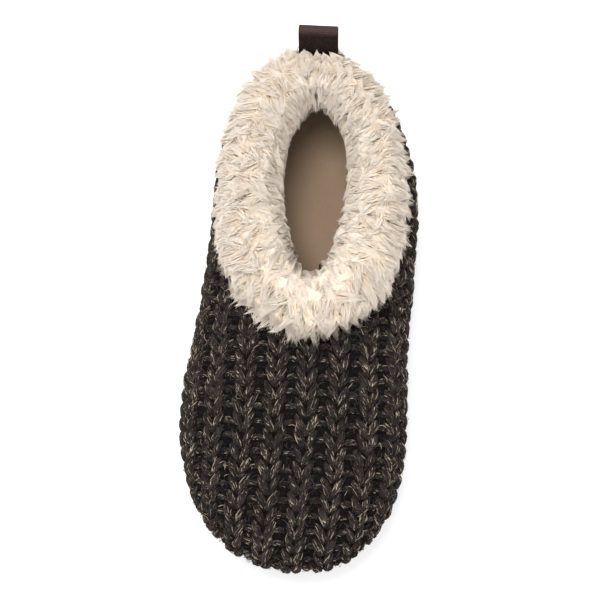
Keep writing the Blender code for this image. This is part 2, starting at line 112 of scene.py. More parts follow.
# Pull loop, in mm: its middle in x, and the way of the ribbon in y and z, up the front layer, over the fold
# and down the back one
RIBBON_X = 3.5
RIBBON_WAY = (
    (118.82, 59.38), (117.4, 62.55), (117.6, 67.0), (118.8, 73.5), (121.2, 81.0), (124.0, 88.0),
    (124.48, 88.7), (125.22, 89.11), (126.06, 89.17), (126.84, 88.86), (127.42, 88.23), (127.66, 87.42),
    (127.53, 86.59), (124.23, 80.03), (121.32, 73.04), (119.54, 66.91), (118.86, 63.21), (120.28, 60.04),
)

# Where the fold stands, in mm along the ribbon, and where its painted highlight is brightest
FOLD_AT = 32.6

# Patches of pile at the foot of the pull loop: behind it in x from its middle and z, before it in x and y
BEHIND_X = (-0.0125, 0.0130)
BEHIND_Z = (0.0570, 0.0725)
BEHIND_HEM = 0.0515
BEHIND_FROM_Y = 0.1205
BEFORE_X = (-0.0120, 0.0125)
BEFORE_Y = (0.1100, 0.1150)

# Strands and loose fibres are drawn through four points. A strand of pile then has 20 triangles, and a piece
# of pile is kept under 190,000
ALONG = np.linspace(0.0, 1.0, 4)
STRAND_FACES = 20
PIECE_FACES = 190000

# Slanting stitches of the heel's seam, and how far stitches wander from their place
SEAM_PITCH = 0.0043
WANDER = 0.0003

# Least height of the strands over the knit
OVER_KNIT = 0.0012

# Points across the arch of a sunk stitch
ARCH = np.linspace(-1.0, 1.0, 7)

SIDEWAYS = ((-1, 0, 0), (1, 0, 0))
UPWARD = np.array([0.0, 0.0, 1.0])

# Radius of a ring whose girth is 1
RING_RADIUS = 0.159

# Stage: middle of the view, the soft lamp, the light of the room and the floor
VIEW_MIDDLE = (-0.0005, 0.0055, 0.025)
LAMP_AT = (-0.22, 0.28, 1.50)
LAMP_WIDTH = 0.8
LAMP_POWER = 17.0
ROOM_LIGHT = 0.90
FLOOR_GLOW = 0.55
FLOOR_HALF = 6.0
SENSOR_WIDTH = 36.0


class KnitSizes(bpy.types.PropertyGroup):
    rib_pitch: FloatProperty(
        name="Rib pitch", description="From one raised rib to the next", default=0.0154, unit="LENGTH",
        precision=5)
    row_pitch: FloatProperty(
        name="Row pitch", description="From one row of stitches to the next", default=0.0075, unit="LENGTH",
        precision=5)
    yarn_radius: FloatProperty(
        name="Yarn radius", description="Thickest half width of the yarn", default=0.0020, unit="LENGTH",
        precision=5)
    yarn_colour: FloatVectorProperty(
        name="Yarn", description="Main colour of the yarn", default=(0.0108, 0.0075, 0.0061), subtype="COLOR")
    light_colour: FloatVectorProperty(
        name="Light fibres", description="Colour of the light fibres in the yarn",
        default=(0.057, 0.044, 0.040), subtype="COLOR")
    gold_colour: FloatVectorProperty(
        name="Gold flecks", description="Colour of the warm flecks in the yarn", default=(0.52, 0.43, 0.315),
        subtype="COLOR")
    fuzz_count: IntProperty(name="Fuzz fibres", description="Loose fibres over the knit", default=2200)
    seed: IntProperty(name="Seed", description="Chance number of the knit", default=5)


class PileSizes(bpy.types.PropertyGroup):
    lock_spacing: FloatProperty(
        name="Lock spacing", description="From one lock of pile to the next", default=0.0039, unit="LENGTH",
        precision=5)
    strands: IntProperty(name="Strands in a lock", description="Strands in each lock", default=37)
    strand_radius: FloatProperty(
        name="Strand radius", description="Half width of a strand at its root", default=0.00027,
        unit="LENGTH", precision=5)
    short_length: FloatProperty(
        name="Short pile", description="Length of the pile round the heel", default=0.0102, unit="LENGTH",
        precision=5)
    long_length: FloatProperty(
        name="Long pile", description="Length of the pile over the vamp", default=0.0175, unit="LENGTH",
        precision=5)
    tip_colour: FloatVectorProperty(
        name="Tips", description="Colour of the pile's tips", default=(1.0, 0.90, 0.79), subtype="COLOR")
    root_colour: FloatVectorProperty(
        name="Roots", description="Colour deep in the pile", default=(0.95, 0.79, 0.62), subtype="COLOR")
    lining_thickness: FloatProperty(
        name="Toe lining", description="Thickness of the short pile in the toe", default=0.0020,
        unit="LENGTH", precision=5)
    seed: IntProperty(name="Seed", description="Chance number of the pile", default=8)


class FootbedSizes(bpy.types.PropertyGroup):
    colour: FloatVectorProperty(
        name="Suede", description="Colour of the footbed", default=(0.298, 0.211, 0.141), subtype="COLOR")


class SoleSizes(bpy.types.PropertyGroup):
    colour: FloatVectorProperty(
        name="Rubber", description="Colour of the sole", default=(0.022, 0.019, 0.018), subtype="COLOR")


class LoopSizes(bpy.types.PropertyGroup):
    width: FloatProperty(
        name="Ribbon width", description="Width of the pull loop", default=0.019, unit="LENGTH", precision=5)
    thickness: FloatProperty(
        name="Ribbon thickness", description="Thickness over the ribs", default=0.0013, unit="LENGTH",
        precision=5)
    rib_pitch: FloatProperty(
        name="Ribbon ribs", description="From one cross rib to the next", default=0.0009, unit="LENGTH",
        precision=5)
    colour: FloatVectorProperty(
        name="Ribbon", description="Colour of the pull loop", default=(0.0165, 0.0095, 0.0085),
        subtype="COLOR")
    # Colour of the fold's painted highlight, where the fold faces up to the light
    fold_highlight_colour: FloatVectorProperty(
        name="Ribbon fold", description="Colour of the ribbon where its fold is worn pale",
        default=(0.057, 0.035, 0.032), subtype="COLOR")


class StageSizes(bpy.types.PropertyGroup):
    elevation: FloatProperty(
        name="Camera height", description="Angle of view above the floor", default=math.radians(80.0),
        subtype="ANGLE")
    azimuth: FloatProperty(
        name="Camera turn", description="Angle of view to the inner side of the foot",
        default=math.radians(15.2), subtype="ANGLE")
    roll: FloatProperty(
        name="Camera roll", description="Tilt of the picture", default=math.radians(-12.0), subtype="ANGLE")
    distance: FloatProperty(
        name="Camera distance", description="From the camera to the shoe", default=1.25, unit="LENGTH")
    field: FloatProperty(
        name="Field", description="Width of the view at the shoe", default=0.2967, unit="LENGTH")
    floor_colour: FloatVectorProperty(
        name="Floor", description="Colour of the floor", default=(0.62, 0.62, 0.62), subtype="COLOR")


def sizes(name):
    """The scene's sizes and colours of one kind of piece."""
    return getattr(bpy.context.scene, "slipper_" + name)


def eased(share):
    """A share from 0 to 1 that starts and ends softly."""
    share = np.clip(share, 0.0, 1.0)
    return share * share * (3.0 - 2.0 * share)


def unit(ways):
    return ways / np.maximum(np.linalg.norm(ways, axis=-1, keepdims=True), 1e-12)


def smoothed(table, amount, axis):
    """A table blurred along an axis by a bell of the given width in cells."""
    reach = int(math.ceil(amount * 2.5))
    weights = np.exp(-0.5 * (np.arange(-reach, reach + 1) / amount) ** 2)
    weights /= weights.sum()
    padding = [(0, 0)] * table.ndim
    padding[axis] = (reach, reach)
    padded = np.pad(table, padding, mode="reflect", reflect_type="odd")
    size = table.shape[axis]
    return sum(w * np.take(padded, range(k, k + size), axis=axis) for k, w in enumerate(weights))


def run_along(line):
    """The distance along a line at each of its points."""
    return np.concatenate([[0.0], np.cumsum(np.linalg.norm(np.diff(line, axis=0), axis=1))])


def read_at(at, run, table):
    """The rows of a table at distances along its run."""
    return np.stack([np.interp(at, run, column) for column in table.T], axis=1)


def mixed(table, low, high, columns, a, b):
    """Values of a table, a share a of the way between two rows and b between a column and the next."""
    near = table[low, columns] * (1 - b) + table[low, columns + 1] * b
    far = table[high, columns] * (1 - b) + table[high, columns + 1] * b
    return near * (1 - a) + far * a


def joined(groups):
    """Groups of lines as one."""
    return {key: np.concatenate([group[key] for group in groups]) for key in groups[0]}


def spine_near(place, low_y=-0.09, z=0.022):
    """Points in the middle of the foot's room, level with the given places."""
    y = np.clip(np.asarray(place)[..., 1], low_y, 0.08)
    return np.stack([np.full_like(y, 0.004), y, np.full_like(y, z)], axis=-1)


def merged_mesh(node, name):
    """A copy of a solid's mesh with its loose triangles joined."""
    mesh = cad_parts[node].data.copy()
    mesh.name = name
    mesh.materials.clear()
    shape = bmesh.new()
    shape.from_mesh(mesh)
    bmesh.ops.remove_doubles(shape, verts=shape.verts, dist=1e-6)
    shape.to_mesh(mesh)
    shape.free()
    return mesh


def vectors(items, key):
    """A value of three parts of every item, as rows."""
    found = np.empty(len(items) * 3)
    items.foreach_get(key, found)
    return found.reshape(-1, 3)


def positions(mesh):
    return vectors(mesh.vertices, "co")


def vertex_normals(mesh):
    return vectors(mesh.vertex_normals, "vector")


def place_vertices(mesh, place):
    """Puts a mesh's vertices in place and shades it smooth."""
    mesh.vertices.foreach_set("co", place.reshape(-1))
    mesh.update()
    mesh.shade_smooth()


def tree_of(node):
    """A search tree over the faces of a solid."""
    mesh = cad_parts[node].data
    faces = [tuple(p.vertices) for p in mesh.polygons]
    return BVHTree.FromPolygons([Vector(v) for v in positions(mesh)], faces)


def new_piece(name, mesh, material, node):
    """The object of a finished piece, riding on the shoe in the place of its solid."""
    piece = bpy.data.objects.new(name, mesh)
    bpy.context.scene.collection.objects.link(piece)
    if material is not None:
        mesh.materials.clear()
        mesh.materials.append(material)
    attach(piece, "root")
    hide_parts(node)
    return piece


def round_off(piece):
    """Smooths a finished piece by one level."""
    finish = piece.modifiers.new("smooth", "SUBSURF")
    finish.levels = 1
    finish.render_levels = 1


# Materials

class Nodes:
    """A short hand for building a tree of nodes."""

    def __init__(self, tree):
        self.tree = tree

    def add(self, kind, inputs=None, **settings):
        node = self.tree.nodes.new(kind)
        for key, value in settings.items():
            setattr(node, key, value)
        for key, value in (inputs or {}).items():
            self.feed(node.inputs[key], value)
        return node

    def feed(self, socket, value):
        if isinstance(value, bpy.types.NodeSocket):
            self.tree.links.new(value, socket)
        else:
            socket.default_value = value

    def math(self, operation, *values, clamp=False):
        node = self.add("ShaderNodeMath", dict(enumerate(values)), operation=operation, use_clamp=clamp)
        return node.outputs[0]

    def vector(self, operation, *values):
        return self.add("ShaderNodeVectorMath", dict(enumerate(values)), operation=operation).outputs[0]

    def scaled(self, vector, gain):
        return self.add("ShaderNodeVectorMath", {0: vector, "Scale": gain}, operation="SCALE").outputs[0]

    def spread(self, value, low, high, out_low=0.0, out_high=1.0):
        return self.add("ShaderNodeMapRange", {
            "Value": value, "From Min": low, "From Max": high, "To Min": out_low, "To Max": out_high},
            clamp=True).outputs["Result"]

    def mix(self, factor, a, b):
        node = self.add("ShaderNodeMix", {0: factor, 6: a, 7: b}, data_type="RGBA", blend_type="MIX")
        return node.outputs[2]

    def noise(self, vector, scale, detail, roughness, distortion=0.0):
        return self.add("ShaderNodeTexNoise", {
            "Vector": vector, "Scale": scale, "Detail": detail, "Roughness": roughness,
            "Distortion": distortion}).outputs["Fac"]

    def attribute(self, name):
        node = self.add("ShaderNodeAttribute", attribute_name=name, attribute_type="GEOMETRY")
        return node.outputs["Vector"]

    def strand(self):
        """The parts of the attribute strand: along, around and tone."""
        return self.add("ShaderNodeSeparateXYZ", {"Vector": self.attribute("strand")}).outputs

    def mottle(self, patches, grain):
        return self.add("ShaderNodeGroup", {"Patch scale": patches, "Grain scale": grain},
                        node_tree=soft_mottle()).outputs

    def streaks(self, along, around, slant):
        return self.add("ShaderNodeGroup", {"Along": along, "Around": around, "Slant": slant},
                        node_tree=fibre_streaks()).outputs


def rgba(colour, gain=1.0):
    return (colour[0] * gain, colour[1] * gain, colour[2] * gain, 1.0)


def new_group(name, inputs, outputs):
    """An empty shader node group whose inputs, with their defaults, and outputs are all plain numbers."""
    group = bpy.data.node_groups.new(name, "ShaderNodeTree")
    kind = "NodeSocketFloat"
    for label, default in inputs.items():
        group.interface.new_socket(name=label, in_out="INPUT", socket_type=kind).default_value = default
    for label in outputs:
        group.interface.new_socket(name=label, in_out="OUTPUT", socket_type=kind)
    nodes = Nodes(group)
    return group, nodes, nodes.add("NodeGroupInput").outputs, nodes.add("NodeGroupOutput").inputs


def soft_mottle():
    """Group: broad patches and fine grain over a surface, from Object coordinates."""
    name = "soft_mottle"
    if name in bpy.data.node_groups:
        return bpy.data.node_groups[name]
    group, nodes, given, out = new_group(
        name, {"Patch scale": 60.0, "Grain scale": 900.0}, ("Patches", "Grain"))
    where = nodes.add("ShaderNodeTexCoord").outputs["Object"]
    patches = nodes.noise(where, given["Patch scale"], 3.0, 0.55)
    nodes.feed(out["Patches"], nodes.spread(patches, 0.3, 0.7))
    nodes.feed(out["Grain"], nodes.noise(where, given["Grain scale"], 4.0, 0.6))
    return group


def fibre_streaks():
    """Group: fine fibres that run along a yarn or ribbon, from the attribute strand."""
    name = "fibre_streaks"
    if name in bpy.data.node_groups:
        return bpy.data.node_groups[name]
    group, nodes, given, out = new_group(
        name, {"Along": 0.5, "Around": 9.0, "Slant": 0.1}, ("Streaks", "Flecks", "Tone"))
    along, around, tone = nodes.strand()
    turned = nodes.math("MULTIPLY_ADD", along, given["Slant"], around)
    angle = nodes.math("MULTIPLY", turned, 2.0 * math.pi)
    width = nodes.math("MULTIPLY", given["Around"], RING_RADIUS)
    ring_x = nodes.math("MULTIPLY", nodes.math("COSINE", angle), width)
    ring_y = nodes.math("MULTIPLY", nodes.math("SINE", angle), width)
    run = nodes.math("MULTIPLY_ADD", along, given["Along"], nodes.math("MULTIPLY", tone, 91.0))
    where = nodes.add("ShaderNodeCombineXYZ", {"X": ring_x, "Y": ring_y, "Z": run}).outputs[0]
    fine = nodes.noise(where, 1.0, 3.0, 0.6)
    sparse = nodes.noise(nodes.vector("MULTIPLY", where, (1.9, 1.9, 1.0)), 1.0, 1.0, 0.5, 0.2)
    nodes.feed(out["Streaks"], nodes.spread(fine, 0.34, 0.68))
    nodes.feed(out["Flecks"], nodes.spread(sparse, 0.652, 0.71))
    nodes.feed(out["Tone"], tone)
    return group


def new_material(name, roughness, sheen=0.0, tint=(1.0, 1.0, 1.0), sheen_roughness=0.5, gloss=0.1):
    """A material with its nodes and its shader's inputs."""
    material = bpy.data.materials.new(name)
    material.use_nodes = True
    shader = material.node_tree.nodes["Principled BSDF"].inputs
    values = {"Roughness": roughness, "Sheen Weight": sheen, "Sheen Roughness": sheen_roughness,
              "Sheen Tint": (*tint, 1.0), "Specular IOR Level": gloss}
    for label, value in values.items():
        shader[label].default_value = value
    return material, Nodes(material.node_tree), shader


def finish(nodes, shader, colour, height, strength, distance):
    """Feeds a shader's colour, and its normal with a bump."""
    nodes.feed(shader["Base Color"], colour)
    bump = nodes.add("ShaderNodeBump", {"Height": height, "Strength": strength, "Distance": distance})
    nodes.feed(shader["Normal"], bump.outputs["Normal"])


def yarn_material(name, gain):
    """Heathered yarn: dark fibres with light streaks and warm flecks."""
    knit = sizes("knit")
    material, nodes, shader = new_material(name, 0.92, 0.025, (0.75, 0.68, 0.60), gloss=0.07)
    streaks = nodes.streaks(0.32, 15.0, 0.06)
    light = nodes.math("POWER", streaks["Streaks"], 1.5)
    colour = nodes.mix(light, rgba(knit.yarn_colour, 0.85 * gain), rgba(knit.light_colour, gain))
    colour = nodes.mix(streaks["Flecks"], colour, rgba(knit.gold_colour, gain))
    # Tones 0 to 1 vary the yarn at random; tones below 0 darken it as painted shade in the depth of the knit
    shade = nodes.spread(streaks["Tone"], -1.0, 1.0, 0.25, 1.25)
    finish(nodes, shader, nodes.scaled(colour, shade), streaks["Streaks"], 0.9, 0.0006)
    return material


def fuzz_material():
    """Loose fibres, most of them grey-brown, some light and a few gold."""
    knit = sizes("knit")
    material, nodes, shader = new_material("knit_fuzz", 0.8, 0.1)
    tone = nodes.strand()[2]
    dark, light = rgba(knit.yarn_colour, 1.3), rgba(knit.light_colour, 1.5)
    colour = nodes.mix(nodes.spread(tone, 0.0, 0.75), dark, light)
    colour = nodes.mix(nodes.spread(tone, 0.80, 0.84), colour, rgba(knit.gold_colour, 1.1))
    nodes.feed(shader["Base Color"], colour)
    return material


def ground_material():
    """The shadowed ground of the knit between the stitches."""
    yarn = sizes("knit").yarn_colour
    material, nodes, shader = new_material("knit_ground", 0.95)
    mottle = nodes.mottle(420.0, 1900.0)
    colour = nodes.mix(mottle["Patches"], rgba(yarn, 0.35), rgba(yarn, 1.1))
    finish(nodes, shader, colour, mottle["Grain"], 0.8, 0.0008)
    return material


def strand_material():
    """Pile strands: tan roots and cream tips, a little warmer in patches."""
    pile = sizes("pile")
    material, nodes, shader = new_material("pile_strands", 0.75, 0.42, (1.0, 0.91, 0.81), sheen_roughness=0.4)
    along, _, tone = nodes.strand()
    patch = nodes.math("MULTIPLY", nodes.mottle(95.0, 700.0)["Patches"], 0.22)
    up = nodes.math("SUBTRACT", nodes.spread(along, 0.10, 0.90), patch, clamp=True)
    colour = nodes.mix(up, rgba(pile.root_colour), rgba(pile.tip_colour))
    nodes.feed(shader["Base Color"], nodes.scaled(colour, nodes.spread(tone, 0.0, 1.0, 0.94, 1.03)))
    # Light scatters in deep pile, so a strand is lit in part as the whole face that it lies on
    face = nodes.add("ShaderNodeNewGeometry").outputs["Normal"]
    soft = nodes.vector("MULTIPLY_ADD", nodes.attribute("lift"), (1.3, 1.3, 1.3), face)
    nodes.feed(shader["Normal"], nodes.vector("NORMALIZE", soft))
    return material


def pile_ground_material(name):
    """The dense short pile under the locks and in the toe."""
    pile = sizes("pile")
    material, nodes, shader = new_material(name, 0.9)
    mottle = nodes.mottle(260.0, 1500.0)
    colour = nodes.mix(mottle["Patches"], rgba(pile.root_colour, 0.9), rgba(pile.tip_colour, 0.92))
    finish(nodes, shader, colour, mottle["Grain"], 1.0, 0.0015)
    return material


def suede_material():
    """Microsuede: a short brushed nap, lighter where it is brushed the other way."""
    suede = sizes("footbed").colour
    material, nodes, shader = new_material("footbed_suede", 0.88, 0.2, (0.85, 0.75, 0.65))
    mottle = nodes.mottle(38.0, 2600.0)
    colour = nodes.mix(mottle["Patches"], rgba(suede, 0.93), rgba(suede, 1.07))
    colour = nodes.scaled(colour, nodes.spread(mottle["Grain"], 0.3, 0.7, 0.9, 1.1))
    finish(nodes, shader, colour, mottle["Grain"], 0.35, 0.0004)
    return material


def rubber_material():
    """Matt foamed rubber with a fine moulded grain, paler where it is scuffed."""
    rubber = sizes("sole").colour
    material, nodes, shader = new_material("sole_rubber", 0.62, gloss=0.35)
    mottle = nodes.mottle(55.0, 1700.0)
    colour = nodes.mix(mottle["Patches"], rgba(rubber), rgba(rubber, 1.45))
    nodes.feed(shader["Roughness"], nodes.spread(mottle["Patches"], 0.0, 1.0, 0.55, 0.72))
    finish(nodes, shader, colour, mottle["Grain"], 0.3, 0.0004)
    return material


def ribbon_material():
    """Fine ribbed ribbon with a slight silk gloss, and a painted highlight along its fold."""
    loop = sizes("loop")
    material, nodes, shader = new_material(
        "loop_ribbon", 0.6, 0.04, (0.9, 0.75, 0.7), sheen_roughness=0.4, gloss=0.06)
    streaks = nodes.streaks(1.2, 30.0, 0.0)["Streaks"]
    colour = nodes.mix(streaks, rgba(loop.colour, 0.7), rgba(loop.colour, 1.6))
    # The fold is painted paler, a painted highlight where it faces up to the light, broken up by the ribs
    from_fold = nodes.math("ABSOLUTE", nodes.math("SUBTRACT", nodes.strand()[0], FOLD_AT))
    painted_fold_light = nodes.spread(nodes.math("MULTIPLY_ADD", streaks, -1.6, from_fold), 0.0, 3.6, 0.95, 0.0)
    finish(nodes, shader, nodes.mix(painted_fold_light, colour, rgba(loop.fold_highlight_colour)), streaks, 0.3, 0.0002)
    return material


def floor_material():
    """A plain pale floor that glows a little, so that it stays even."""
    floor = sizes("stage").floor_colour
    material, nodes, shader = new_material("plain_floor", 0.9)
    patches = nodes.mottle(2.0, 400.0)["Patches"]
    nodes.feed(shader["Base Color"], nodes.mix(patches, rgba(floor, 0.995), rgba(floor)))
    shader["Emission Color"].default_value = (1.0, 1.0, 1.0, 1.0)
    shader["Emission Strength"].default_value = FLOOR_GLOW
    return material


# Geometry Nodes: yarn, fibres and pile are tubes along drawn lines

TUBE_INPUTS = (
    # name, kind, default
    ("Sides", "NodeSocketInt", 3),
    ("Depth", "NodeSocketFloat", 0.0),
    ("Lobes", "NodeSocketInt", 4),
    ("Twist", "NodeSocketFloat", 0.0),
)


def tube_tree(material):
    """A tree that turns lines with the attributes thick, lift, along and tone into closed tubes.

    Depth is how far the lobes of the section stand out, as a share of its radius.
    """
    tree = bpy.data.node_groups.new("tubes_along_lines_" + material.name, "GeometryNodeTree")
    face = tree.interface
    face.new_socket(name="Lines", in_out="INPUT", socket_type="NodeSocketGeometry")
    for label, kind, default in TUBE_INPUTS:
        face.new_socket(name=label, in_out="INPUT", socket_type=kind).default_value = default
    face.new_socket(name="Tubes", in_out="OUTPUT", socket_type="NodeSocketGeometry")
    nodes = Nodes(tree)
    given = nodes.add("NodeGroupInput").outputs

    def step(kind, inputs=None, **settings):
        return nodes.add("GeometryNode" + kind, inputs, **settings).outputs[0]

    def read(name, kind="FLOAT"):
        node = nodes.add("GeometryNodeInputNamedAttribute", {"Name": name}, data_type=kind)
        return node.outputs["Attribute"]

    def store(shape, name, value, kind):
        return step("StoreNamedAttribute", {"Geometry": shape, "Name": name, "Value": value},
                    data_type=kind, domain="POINT")

    curve = step("MeshToCurve", {"Mesh": given["Lines"]})
    curve = step("SetCurveNormal", {"Curve": curve, "Normal": read("lift", "FLOAT_VECTOR")}, mode="FREE")
    turned = nodes.math("MULTIPLY", given["Twist"], step("SplineParameter"))
    curve = step("SetCurveTilt", {"Curve": curve, "Tilt": turned})

    circle = step("CurvePrimitiveCircle", {"Resolution": given["Sides"], "Radius": 1.0})
    around = step("SplineParameter")
    lobe_angle = nodes.math("MULTIPLY", nodes.math("MULTIPLY", around, given["Lobes"]), 2.0 * math.pi)
    lobe = nodes.math("MULTIPLY_ADD", nodes.math("COSINE", lobe_angle), given["Depth"], 1.0)
    lobed = nodes.scaled(step("InputPosition"), lobe)
    profile = store(step("SetPosition", {"Geometry": circle, "Position": lobed}), "around", around, "FLOAT")

    mesh = step("CurveToMesh", {
        "Curve": curve, "Profile Curve": profile, "Scale": read("thick"), "Fill Caps": True})
    parts = {"X": read("along"), "Y": read("around"), "Z": read("tone")}
    strand = nodes.add("ShaderNodeCombineXYZ", parts).outputs[0]
    mesh = step("SetShadeSmooth", {"Geometry": store(mesh, "strand", strand, "FLOAT_VECTOR")})
    mesh = step("RealizeInstances", {"Geometry": mesh})
    mesh = step("SetMaterial", {"Geometry": mesh, "Material": material})
    nodes.feed(nodes.add("NodeGroupOutput").inputs["Tubes"], mesh)
    return tree


def tubes(name, lines, material, node, slot_name, spares=("lift",), **values):
    """One piece of tubes along lines, which hold points, lift, thick and along for each point, and tone."""
    count, steps = lines["points"].shape[:2]
    mesh = bpy.data.meshes.new(name + "_lines")
    mesh.vertices.add(count * steps)
    mesh.vertices.foreach_set("co", lines["points"].reshape(-1))
    starts = (np.arange(count)[:, None] * steps + np.arange(steps - 1)[None, :]).reshape(-1)
    mesh.edges.add(len(starts))
    mesh.edges.foreach_set("vertices", np.column_stack([starts, starts + 1]).reshape(-1).astype(np.int32))
    for key in ("thick", "along", "tone", "lift"):
        kind, part = ("FLOAT_VECTOR", "vector") if key == "lift" else ("FLOAT", "value")
        data = np.repeat(lines[key], steps) if key == "tone" else lines[key]
        attribute = mesh.attributes.new(key, kind, "POINT")
        attribute.data.foreach_set(part, np.ascontiguousarray(data, np.float32).reshape(-1))
    mesh.update()
    source = bpy.data.objects.new(name + "_lines", mesh)
    bpy.context.scene.collection.objects.link(source)
    tree = tube_tree(material)
    modifier = source.modifiers.new("tubes", "NODES")
    modifier.node_group = tree
    for item in tree.interface.items_tree:
        if item.in_out == "INPUT" and item.name in values:
            modifier[item.identifier] = values[item.name]
    bpy.context.view_layer.update()
    evaluated = source.evaluated_get(bpy.context.evaluated_depsgraph_get())
    finished = bpy.data.meshes.new_from_object(evaluated)
    finished.name = name
    bpy.data.objects.remove(source, do_unlink=True)
    bpy.data.meshes.remove(mesh)
    for spare in ("thick", "along", "around", "tone", "custom_normal", "tilt", "radius") + spares:
        if spare in finished.attributes:
            finished.attributes.remove(finished.attributes[spare])
    if not len(finished.polygons):
        raise RuntimeError(name + " came out empty")
    return new_piece(name, finished, None, node)


# The knit's surface

class KnitSurface:
    """The outside of the upper as a table: stations from toe to heel, and signed distance from the middle."""

    def __init__(self):
        self.tree = tree_of("upper")
        self.low = positions(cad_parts["upper"].data)
        self.across = np.arange(-ACROSS_REACH, ACROSS_REACH + ACROSS_STEP / 2, ACROSS_STEP)
        planes = self.planes()
        self.throat = next(k for k, p in enumerate(planes) if p["y"] is not None and p["y"] >= THROAT_Y)
        found = [[self.section(p, side) for side in (-1, 1)] for p in planes]
        girth = [[line[1][-1] for line in pair] for pair in found]
        point, known = [], []
        for k, pair in enumerate(found):
            row, ok = [], []
            for side in (0, 1):
                line, run = pair[side]
                full = girth[min(k, self.throat)][side] if k >= self.throat else run[-1]
                up = full - np.abs(self.across)
                row.append(self.read(line, run, up))
                ok.append((up >= -END_SLACK) & (up <= run[-1] + (1.0 if k < self.throat else -UNDER_PILE)))
            left = self.across < 0
            point.append(np.where(left[:, None], row[0], row[1]))
            known.append(np.where(left, ok[0], ok[1]))
        self.point = smoothed(np.array(point), 1.2, 0)
        self.known = np.array(known)
        ahead = np.gradient(self.point, axis=0)
        aside = np.gradient(self.point, axis=1)
        normal = np.cross(aside, ahead)
        self.normal = unit(smoothed(smoothed(unit(normal), 1.5, 0), 2.0, 1))

    def foot_z(self, y):
        """Height of the knit's lower edge at a place along the shoe."""
        near = self.low[np.abs(self.low[:, 1] - y) < 0.006]
        return near[:, 2].min() + 0.0008 if len(near) else self.low[:, 2].min() + 0.0008

    def planes(self):
        """Section planes: an origin, a sideways direction for each side and an upward direction."""
        found = []
        x_at = np.array(MIDDLE_X)

        def middle(y):
            return float(np.interp(y, x_at[:, 0], x_at[:, 1]))

        pivot = np.array([middle(TOE_PIVOT_Y), TOE_PIVOT_Y, self.foot_z(TOE_PIVOT_Y)])
        tip = np.array([middle(-0.129), -0.1235, self.foot_z(-0.122)])
        lowest = math.atan2(tip[2] - pivot[2], pivot[1] - tip[1])
        for angle in np.linspace(math.pi / 2 - lowest, 0.0, TOE_FAN, endpoint=False):
            lean = (tip[0] - pivot[0]) * math.sin(angle) / abs(tip[1] - pivot[1])
            up = np.array([lean, -math.sin(angle), math.cos(angle)])
            found.append({"at": pivot, "side": SIDEWAYS, "up": up, "y": None})
        for y in np.arange(TOE_PIVOT_Y, HEEL_PIVOT[1], PLANE_STEP):
            at = np.array([middle(y), y, self.foot_z(y)])
            found.append({"at": at, "side": SIDEWAYS, "up": UPWARD, "y": y})
        start = found[-1]["at"]
        for angle in np.linspace(0.0, math.pi / 2, HEEL_FAN)[1:]:
            at = np.array([start[0] + (HEEL_PIVOT[0] - start[0]) * math.sin(angle), HEEL_PIVOT[1], start[2]])
            sides = tuple((s * math.cos(angle), math.sin(angle), 0) for s in (-1, 1))
            found.append({"at": at, "side": sides, "up": UPWARD, "y": 9.0})
        return found

    def section(self, plane, side):
        """Points from the feather edge up the outside, and their run."""
        sideways = np.array(plane["side"][(side + 1) // 2], float)
        line = []
        for angle in np.linspace(0.0, math.pi / 2, RAY_STEPS):
            way = unit(math.cos(angle) * sideways + math.sin(angle) * plane["up"])
            hit = self.tree.ray_cast(Vector(plane["at"] + way * RAY_FROM), Vector(-way), RAY_REACH)[0]
            if hit is not None:
                line.append(hit)
        line = np.array(line)
        jumps = np.linalg.norm(np.diff(line, axis=0), axis=1)
        line = line[np.concatenate([[True], jumps < LINE_GAP])]
        return line, run_along(line)

    @staticmethod
    def read(line, run, up):
        """Points at distances up the line, carried straight on past its ends."""
        inside = read_at(up, run, line)
        first = unit(line[3] - line[0])
        last = unit(line[-1] - line[-4])
        below = np.minimum(up, 0.0)[:, None] * first
        above = np.maximum(up - run[-1], 0.0)[:, None] * last
        return inside + below + above

    def at(self, station, across):
        """Points, normals and whether the knit reaches there, at fractional stations and distances."""
        column = (across + ACROSS_REACH) / ACROSS_STEP
        rows, columns = self.point.shape[:2]
        i = np.clip(np.floor(station).astype(int), 0, rows - 2)
        j = np.clip(np.floor(column).astype(int), 0, columns - 2)
        cell = (i, i + 1, j, (station - i)[..., None], (column - j)[..., None])
        near = np.clip(np.round(station).astype(int), 0, rows - 1)
        known = self.known[near, np.round(column).astype(int)]
        return mixed(self.point, *cell), unit(mixed(self.normal, *cell)), known

    def runs(self, across):
        """Distance along the column at one distance from the middle, zero at the reference row."""
        j = int(round((across + ACROSS_REACH) / ACROSS_STEP))
        line = self.point[:, j]
        run = run_along(line)
        start = np.interp(ROWS_FROM_Y, line[TOE_FAN:TOE_FAN + 40, 1], run[TOE_FAN:TOE_FAN + 40])
        return run - start

    def stitches(self, across, pitch):
        """The rows of one column, as distances along it, with its run table."""
        run = self.runs(across)
        return np.arange(math.ceil(run[0] / pitch), math.floor(run[-1] / pitch) + 1) * pitch, run


def column_lines(surface, columns, pitch, shape, rng):
    """Lines of one loop shape, repeated along each column of the knit.

    shape holds along, across, height, thick and run, one value a point, and the sides that it is drawn on.
    """
    found = []
    for across in columns:
        rows, run = surface.stitches(across, pitch)
        count, stations = len(rows), np.arange(len(run))
        for mirror in shape["sides"]:
            size = 1.0 + 0.07 * rng.standard_normal((count, 1))
            shift = WANDER * rng.standard_normal((count, 2))
            reach = rows[:, None] + shape["along"] + shift[:, :1]
            aside = across + mirror * shape["across"] * size + shift[:, 1:]
            station = np.interp(reach, run, stations)
            place, normal, known = surface.at(station, np.clip(aside, -ACROSS_REACH, ACROSS_REACH))
            inside = (reach >= run[0] - END_SLACK) & (reach <= run[-1] + END_SLACK)
            whole = (known & inside).all(axis=1)
            height = shape["height"] + 0.0002 * rng.standard_normal((count, 1))
            found.append({
                "points": (place + height[..., None] * normal)[whole],
                "lift": normal[whole],
                "thick": (shape["thick"] * size)[whole],
                "along": np.broadcast_to(shape["run"], reach.shape)[whole],
                "tone": rng.random(count)[whole],
            })
    return joined(found)


